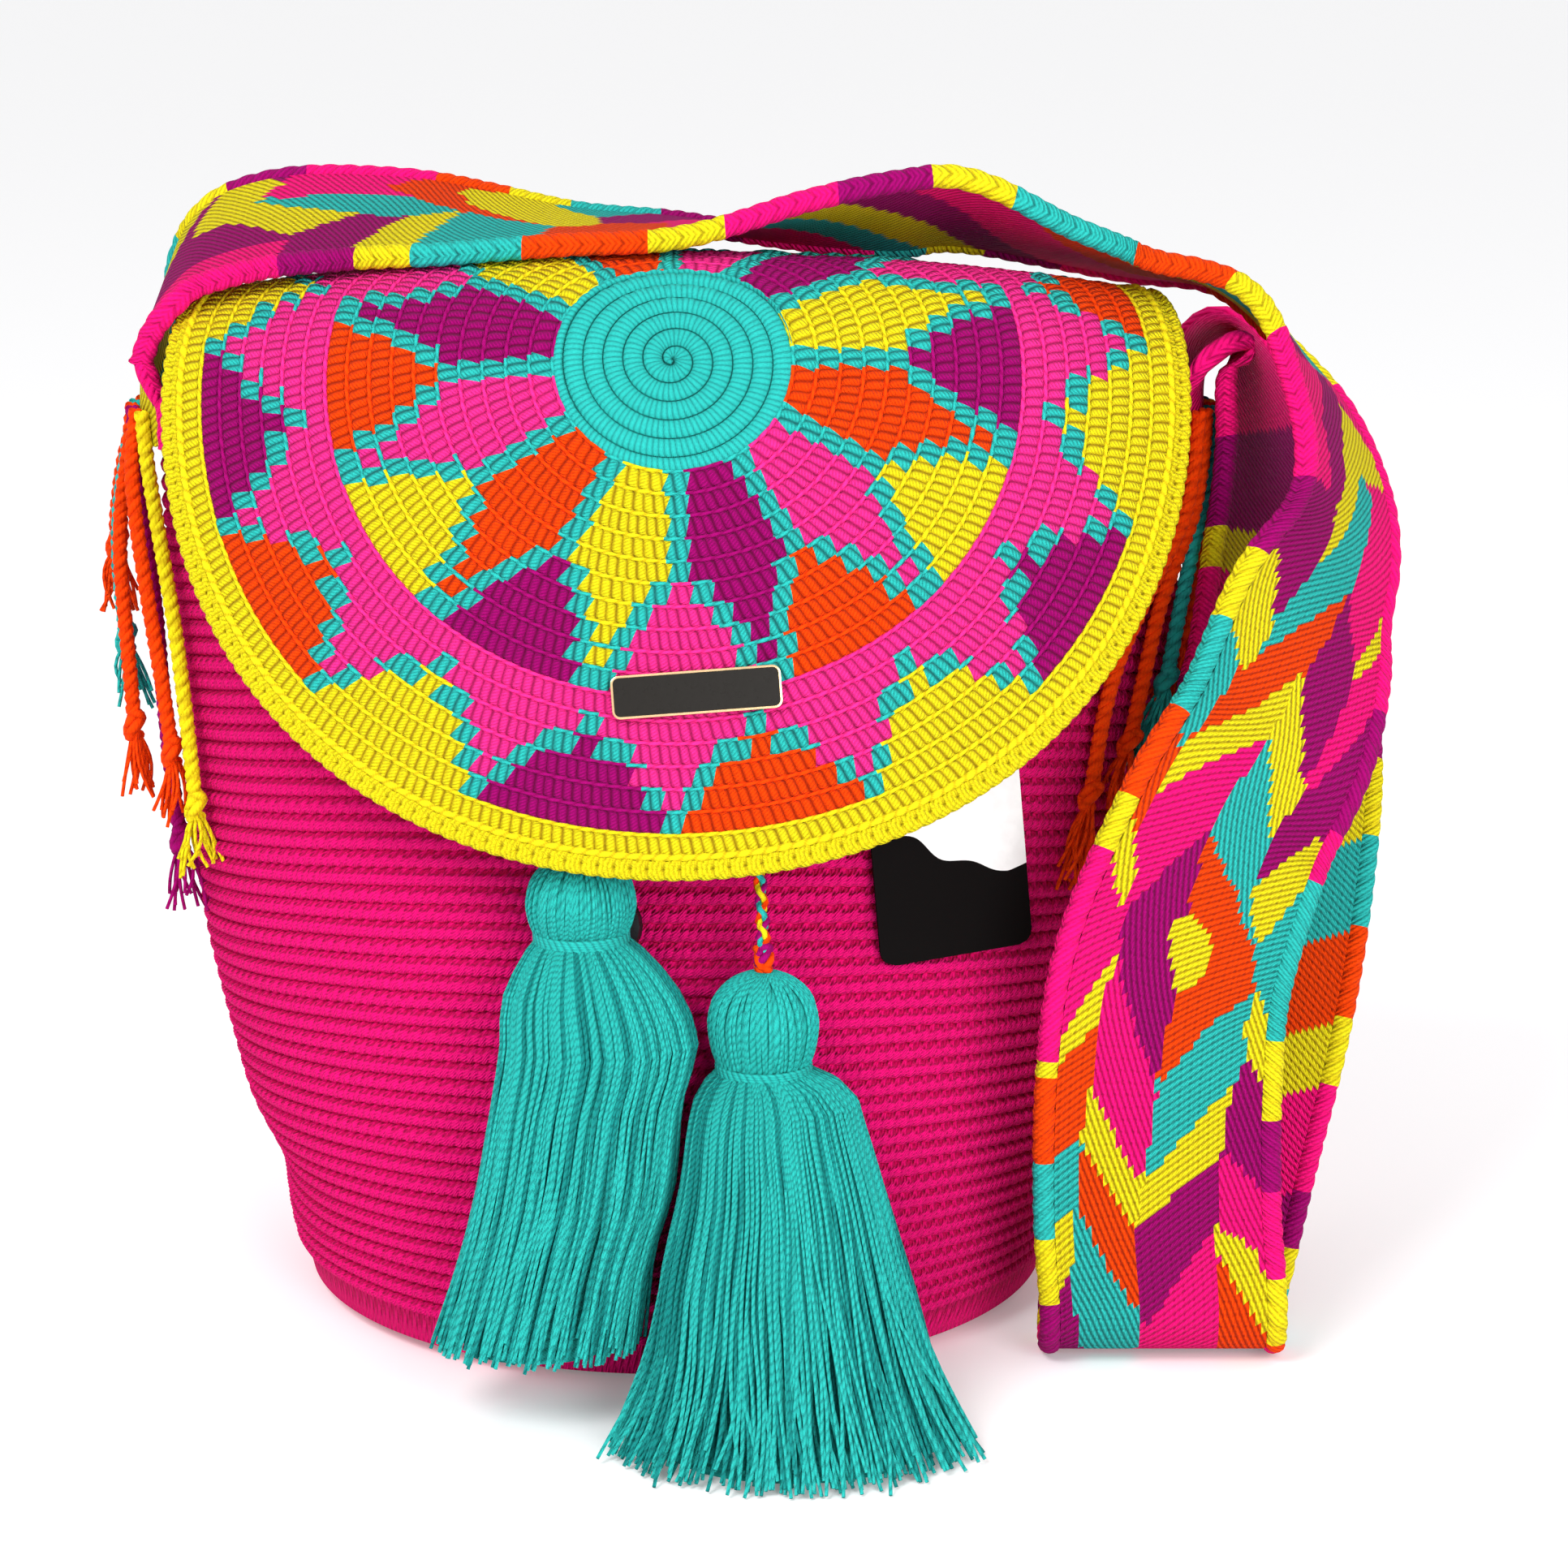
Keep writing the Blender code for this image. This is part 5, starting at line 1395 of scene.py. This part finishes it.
# Colour fields of the band, drawn on a flat plan with 9 units to the millimetre across it and 5.58 along it.
PLAN_ACROSS = 9000
PLAN_ALONG = 5580
MIDDLE_LEFT_EDGE, MIDDLE_START = 577, 352.5
MIDDLE_FIELDS = (
    ("purple", ((720, 0), (900, 90), (980, 140), (960, 210), (895, 170), (800, 60))),
    ("yellow", ((640, 150), (760, 80), (830, 90), (895, 140), (910, 210), (955, 270), (940, 340), (880, 270),
                (800, 160), (740, 170))),
    ("pink", ((640, 190), (790, 160), (740, 190), (790, 290), (780, 330), (715, 410), (650, 330),
              (640, 250))),
    ("teal", ((735, 190), (790, 160), (830, 190), (905, 280), (945, 330), (985, 400), (1000, 470),
              (1010, 500),
              (930, 430), (870, 390), (785, 310), (775, 250))),
    ("purple", ((950, 250), (1144, 225), (1144, 320), (1080, 345), (1020, 360), (985, 420), (940, 330))),
    ("orange", ((783, 318), (1005, 480), (1035, 505), (1062, 640), (870, 505), (812, 400))),
    ("purple", ((783, 318), (812, 400), (855, 470), (810, 560), (752, 600), (720, 500), (715, 420))),
    ("pink", ((577, 310), (610, 300), (700, 420), (722, 500), (752, 605), (690, 540), (640, 470),
              (577, 430))),
    ("yellow", ((610, 300), (650, 340), (700, 410), (712, 445), (650, 400), (620, 350))),
    ("purple", ((577, 440), (640, 500), (700, 600), (755, 660), (755, 770), (690, 690), (640, 610),
                (600, 520))),
    ("yellow", ((640, 650), (752, 780), (697, 850), (640, 740))),
    ("teal", ((632, 750), (700, 865), (680, 900), (655, 930), (600, 1010), (577, 960), (577, 830))),
    ("yellow", ((868, 468), (1060, 638), (1063, 712), (886, 568))),
    ("yellow", ((868, 468), (886, 568), (753, 692), (750, 608)), "steep"),
    ("teal", ((886, 570), (905, 700), (900, 730), (790, 785), (700, 860), (745, 790), (753, 692)), "steep"),
    ("pink", ((886, 570), (1063, 712), (1060, 780), (1015, 865), (940, 780), (905, 720))),
    ("orange", ((905, 725), (880, 830), (790, 870), (790, 900), (850, 950), (862, 1085), (780, 1010),
                (680, 925),
                (680, 890), (700, 860), (790, 790))),
    ("purple", ((905, 725), (1000, 840), (1025, 885), (1000, 920), (930, 1000), (870, 1080), (860, 950),
                (905, 880),
                (890, 845), (880, 830)), "steep"),
    ("yellow", ((790, 880), (820, 850), (890, 840), (905, 870), (850, 950), (800, 930))),
    ("yellow", ((665, 920), (680, 1000), (650, 1040), (605, 1120), (590, 1060), (610, 990)), "steep"),
    ("teal", ((665, 920), (780, 1010), (865, 1085), (893, 1220), (800, 1150), (695, 1070), (680, 1000))),
    ("pink", ((1000, 915), (1010, 990), (1015, 1090), (900, 1220), (875, 1100), (930, 1010)), "steep"),
    ("yellow", ((1000, 915), (1070, 1000), (1135, 1050), (1140, 1110), (1060, 1080), (1010, 1000))),
    ("orange", ((1010, 1000), (1125, 1080), (1144, 1120), (1144, 1210), (1050, 1150), (1020, 1100))),
    ("purple", ((680, 1045), (700, 1100), (715, 1180), (620, 1240), (612, 1150), (640, 1080)), "steep"),
    ("yellow", ((695, 1075), (893, 1222), (915, 1285), (850, 1250), (715, 1170))),
    ("yellow", ((893, 1222), (1018, 1090), (1030, 1165), (915, 1285)), "steep"),
    ("pink", ((715, 1175), (730, 1280), (640, 1400), (620, 1330), (620, 1240)), "steep"),
    ("purple", ((715, 1180), (915, 1285), (917, 1430), (850, 1370), (735, 1280))),
    ("orange", ((915, 1285), (1030, 1165), (1045, 1240), (930, 1400), (915, 1330)), "steep"),
    ("teal", ((1030, 1165), (1144, 1190), (1144, 1290), (1045, 1240))),
    ("yellow", ((1045, 1240), (1110, 1290), (1140, 1350), (1144, 1390), (1060, 1330))),
    ("yellow", ((730, 1285), (640, 1330), (625, 1400), (630, 1450), (735, 1330)), "steep"),
    ("pink", ((730, 1285), (780, 1330), (917, 1440), (915, 1480), (870, 1500), (780, 1480), (740, 1380))),
    ("teal", ((1045, 1245), (1060, 1330), (1065, 1390), (1020, 1480), (915, 1480), (925, 1410)), "steep"),
    ("orange", ((735, 1340), (740, 1400), (700, 1460), (620, 1480), (640, 1440)), "steep"),
    ("purple", ((1060, 1335), (1140, 1400), (1144, 1480), (1065, 1480))),
    ("orange", ((1060, 640), (1144, 610), (1144, 700), (1063, 780), (1063, 712)), "steep"),
    ("yellow", ((1062, 780), (1144, 700), (1144, 780), (1020, 865), (1030, 810)), "steep"),
    ("teal", ((1040, 500), (1110, 440), (1144, 480), (1144, 570), (1075, 665), (1060, 640)), "steep"),
    ("yellow", ((985, 440), (1060, 360), (1090, 350), (1110, 440), (1040, 500), (1010, 500)), "steep"),
    ("pink", ((1020, 865), (1144, 790), (1144, 1080), (1070, 1000), (1000, 915))),
)
LEFT_START = 10
LEFT_FIELDS = (
    ("purple", ((270, 280), (330, 190), (430, 195), (430, 400), (380, 350))),
    ("pink", ((430, 195), (545, 200), (545, 380), (430, 400))),
    ("purple", ((300, 490), (400, 400), (567, 380), (567, 490), (300, 555))),
    ("yellow", ((290, 560), (567, 500), (567, 590), (260, 620))),
    ("teal", ((250, 640), (567, 600), (567, 750), (350, 770))),
    ("orange", ((380, 765), (567, 750), (567, 895), (300, 900))),
    ("yellow", ((60, 300), (200, 260), (330, 360), (400, 400), (300, 480), (200, 340), (130, 330))),
    ("teal", ((170, 320), (240, 370), (310, 520), (300, 560), (250, 620), (180, 520))),
    ("pink", ((130, 330), (190, 360), (170, 430), (170, 540), (130, 480))),
    ("orange", ((130, 500), (220, 600), (330, 750), (260, 700), (150, 610))),
    ("yellow", ((90, 640), (170, 620), (330, 750), (360, 810), (200, 790), (100, 720))),
)
BAND_SLANT = 0.9
BAND_REPEAT = 0.205
BANDS = (("teal", 0.0), ("yellow", 0.016), ("purple", 0.034), ("pink", 0.052), ("orange", 0.082),
         ("yellow", 0.104), ("teal", 0.122), ("purple", 0.148), ("pink", 0.170))
FRONT_EDGE = ((0.080, "pink"), (0.104, "purple"), (0.118, "yellow"), (0.143, "teal"), (0.171, "orange"),
              (0.189, "yellow"), (0.217, "pink"), (0.240, "purple"), (0.257, "yellow"), (0.299, "teal"),
              (0.329, "orange"), (0.348, "yellow"), (0.395, "pink"), (0.420, "purple"), (0.435, "yellow"))
BACK_START = 0.628
BACK_SLANT = 0.45
BACK_SLANT_END = 0.83
BACK_PLY = ((0.652, "teal"), (0.661, "yellow"), (0.676, "purple"), (0.705, "pink"), (0.722, "yellow"),
            (0.745, "orange"), (0.768, "teal"), (0.790, "yellow"), (0.815, "purple"), (0.830, "pink"),
            (0.842, "yellow"), (0.870, "purple"), (0.950, "pink"))
NEARBY = [(0, 0)] + [(reach * step_x, reach * step_y) for reach in (14, 28) for step_x, step_y in
                     ((1, 0), (-1, 0), (0, 1), (0, -1), (1, 1), (-1, 1), (1, -1), (-1, -1))]


def inside_field(corners, x, y):
    found = False
    for (x1, y1), (x2, y2) in zip(corners, (*corners[1:], corners[0])):
        if (y1 > y) != (y2 > y) and x < x1 + (y - y1) / (y2 - y1) * (x2 - x1):
            found = not found
    return found


def banded(bands, place):
    """The colour of the first band that ends past this place."""
    return next((name for end, name in bands if place < end), bands[-1][1])


def web_field(across, along):
    """The yarn of the band here, and whether its threads run steeply. Along is from the band's left end."""
    x, y = (across + STRAP_HALF_WIDTH) * PLAN_ACROSS, along * PLAN_ALONG
    if along >= BACK_START:
        fading = clamped((BACK_SLANT_END - along) / 0.05)
        return banded(BACK_PLY, along + BACK_SLANT * (across + STRAP_HALF_WIDTH) * fading), False
    if along >= MIDDLE_START * MM:
        fields, x, y = MIDDLE_FIELDS, x + MIDDLE_LEFT_EDGE, y - MIDDLE_START * MM * PLAN_ALONG
    else:
        fields, y = LEFT_FIELDS, y - LEFT_START * MM * PLAN_ALONG
    for shift_x, shift_y in NEARBY:
        for name, corners, *steep in reversed(fields):
            if inside_field(corners, x + shift_x, y + shift_y):
                return name, bool(steep)
    if fields is MIDDLE_FIELDS:
        return "pink", False
    place = (along + BAND_SLANT * across) % BAND_REPEAT
    return [name for name, start in BANDS if start <= place][-1], False


def edge_colour(side, along):
    if side > 0 and along < MIDDLE_START * MM:
        return banded(FRONT_EDGE, along)
    return web_field(side * (STRAP_HALF_WIDTH - 0.003), along)[0]


def make_web(cloth, frames, sign):
    """One face of the band. Its threads run slantwise from edge to edge, each as two rows of faces."""
    inner = STRAP_HALF_WIDTH - 2 * STRAP_ROLL
    length = frames[-1][4]
    threads = math.ceil((length + 2 * THREAD_SLOPE * inner) / THREAD_PITCH)

    def spot(x, y):
        """How far across and along the band this corner of the face's grid lies."""
        across = blend(-inner - 0.0006, inner + 0.0006, x / WEB_COLUMNS)
        return across, y * THREAD_PITCH / 2 - THREAD_SLOPE * inner + THREAD_SLOPE * across

    def place(x, y):
        across, along = spot(x, y)
        row = max(0.0, min(along, length)) / length * (len(frames) - 1)
        index = min(int(row), len(frames) - 2)
        start, end = (strap_point(frame, across, sign * STRAP_HALF_WALL) for frame in frames[index:index + 2])
        return start.lerp(end, row - index)

    def thread(x, y, steep):
        across, along = spot(x, y)
        if steep:
            return (along - STEEP_SLOPE * across) / STEEP_PITCH, along / THREAD_TWIST
        return y / 2, across * 1.2 / THREAD_TWIST

    cloth.patch(WEB_COLUMNS, threads * 2, place, lambda x, y: web_field(*spot(x + 0.5, y // 2 * 2 + 1)), thread)


def make_strap():
    frames = strap_frames()
    web = Cloth()
    for sign in (1, -1):
        make_web(web, frames, sign)
    web.finish("woven_band", [WOVEN], "woven strap", "strap")
    edges = Cloth()
    sides = 16
    last = len(frames) - 1

    def spread(x):
        return 1 - abs(x % sides / (sides / 2) - 1)

    def along(y):
        return frames[min(max(y - 1, 0), last)][4]

    for side in (1, -1):
        def place(x, y, side=side):
            frame = frames[min(max(y - 1, 0), last)]
            middle = side * (STRAP_HALF_WIDTH - STRAP_ROLL)
            if y in (0, last + 2):
                return strap_point(frame, middle, 0.0)
            beat = abs(math.sin(math.pi * (along(y) / PLAIT + PLAIT_LEAN * spread(x)))) ** 0.7
            size = STRAP_ROLL * (0.84 + 0.16 * beat) - 0.0006 * math.exp(-(spread(x) / 0.1) ** 2)
            around = corner(x, sides)
            return strap_point(frame, middle + side * size * math.cos(around), size * math.sin(around))

        edges.patch(sides, last + 2, place, lambda x, y, side=side: edge_colour(side, along(y)),
                    lambda x, y: (spread(x), along(y) / PLAIT))
    edges.finish("plaited_band_edges", [PLAITED], "woven strap", "strap")


# Trims

def make_plate():
    """A bare dark plate in a raised bright rim, flat on the flap."""
    normal = flap_normal(PLATE_ACROSS, PLATE_ALONG)
    point = flap_surface(PLATE_ACROSS, PLATE_ALONG) + normal * (PLATE_THICKNESS / 2 + GAP)
    bm = bmesh.new()
    bmesh.ops.create_cube(bm, size=1.0)
    bmesh.ops.scale(bm, vec=(PLATE_WIDTH, PLATE_HEIGHT, PLATE_THICKNESS), verts=bm.verts)
    upright = [edge for edge in bm.edges if abs((edge.verts[0].co - edge.verts[1].co).normalized().z) > 0.9]
    bevel = {"affect": "EDGES", "profile": 0.5, "material": -1}
    bmesh.ops.bevel(bm, geom=upright, offset=PLATE_CORNER, segments=6, **bevel)
    bm.faces.ensure_lookup_table()
    top = max(bm.faces, key=lambda face: face.calc_center_median().z)
    bmesh.ops.inset_region(bm, faces=[top], thickness=PLATE_RIM)
    bmesh.ops.inset_region(bm, faces=[top], thickness=0.00012, depth=-PLATE_SINK)
    top.material_index = 1
    rims = [edge for edge in bm.edges if edge.calc_length() and not edge.is_boundary
            and edge.calc_face_angle(0) > 1.2 and min(vert.co.z for vert in edge.verts) > 0]
    bmesh.ops.bevel(bm, geom=rims, offset=PLATE_EDGE, segments=2, **bevel)
    bmesh.ops.transform(bm, matrix=facing(point, normal, PLATE_TILT), verts=bm.verts)
    add_piece("rimmed_plate", bm, [BRASS, ENAMEL], "dark plate", "name_plate", 35)


def tag_boundary(across):
    """The height where the dark part of the tag ends: high at the left, then down in two soft steps."""
    share = across / TAG_WIDTH + 0.5
    first = 1 / (1 + math.exp(-(share - 0.36) * 26))
    second = 1 / (1 + math.exp(-(share - 0.72) * 22))
    lift = max(0.0, share - 0.88) * 0.012
    return TAG_HEIGHT * TAG_LEVEL - 0.0085 * first - 0.0048 * second + lift


def make_tag():
    low, high, left, right = (front_point(TAG_X + shift, height) for shift, height in (
        (0, TAG_BOTTOM), (0, TAG_BOTTOM + TAG_HEIGHT), (-TAG_CORNER, TAG_BOTTOM), (TAG_CORNER, TAG_BOTTOM)))
    normal = (right - left).cross(high - low).normalized()
    point = (low + high) / 2 + normal * (TAG_THICKNESS / 2 + TAG_GAP)
    bm = bmesh.new()
    made = bmesh.ops.create_grid(bm, x_segments=TAG_COLUMNS, y_segments=TAG_ROWS, size=1.0)
    places = {vert: (vert.co.x, round((vert.co.y + 1) / 2 * TAG_ROWS)) for vert in made["verts"]}
    half_width, half_height = TAG_WIDTH / 2, TAG_HEIGHT / 2
    for face in bm.faces:
        face.material_index = int(min(places[vert][1] for vert in face.verts) >= TAG_DARK_ROWS)
    for vert, (share, row) in places.items():
        height = tag_boundary(share * half_width)
        if row <= TAG_DARK_ROWS:
            height = blend(-half_height, height, row / TAG_DARK_ROWS)
        else:
            height = blend(height, half_height, (row - TAG_DARK_ROWS) / (TAG_ROWS - TAG_DARK_ROWS))
        over = max(0.0, abs(height) - (half_height - TAG_CORNER))
        wide = half_width - TAG_CORNER + math.sqrt(max(TAG_CORNER ** 2 - over ** 2, 0.0))
        vert.co = (share * wide, height, TAG_THICKNESS / 2)
    bmesh.ops.solidify(bm, geom=bm.faces[:], thickness=TAG_THICKNESS)
    bmesh.ops.recalc_face_normals(bm, faces=bm.faces)
    bmesh.ops.transform(bm, matrix=facing(point, normal, TAG_TILT), verts=bm.verts)
    add_piece("card_tag", bm, [BLACK_CARD, WHITE_CARD], "card", "hang_tag", 35)


def finish_snap():
    for name in ("snap_body", "snap_flap"):
        for slot in frame["nodes"][name].material_slots:
            slot.material = SNAP_METAL


make_studio()
make_drawstring()
make_fringes()
make_tassels()
make_flap()
make_body()
make_inside()
make_strap()
make_plate()
make_tag()
finish_snap()
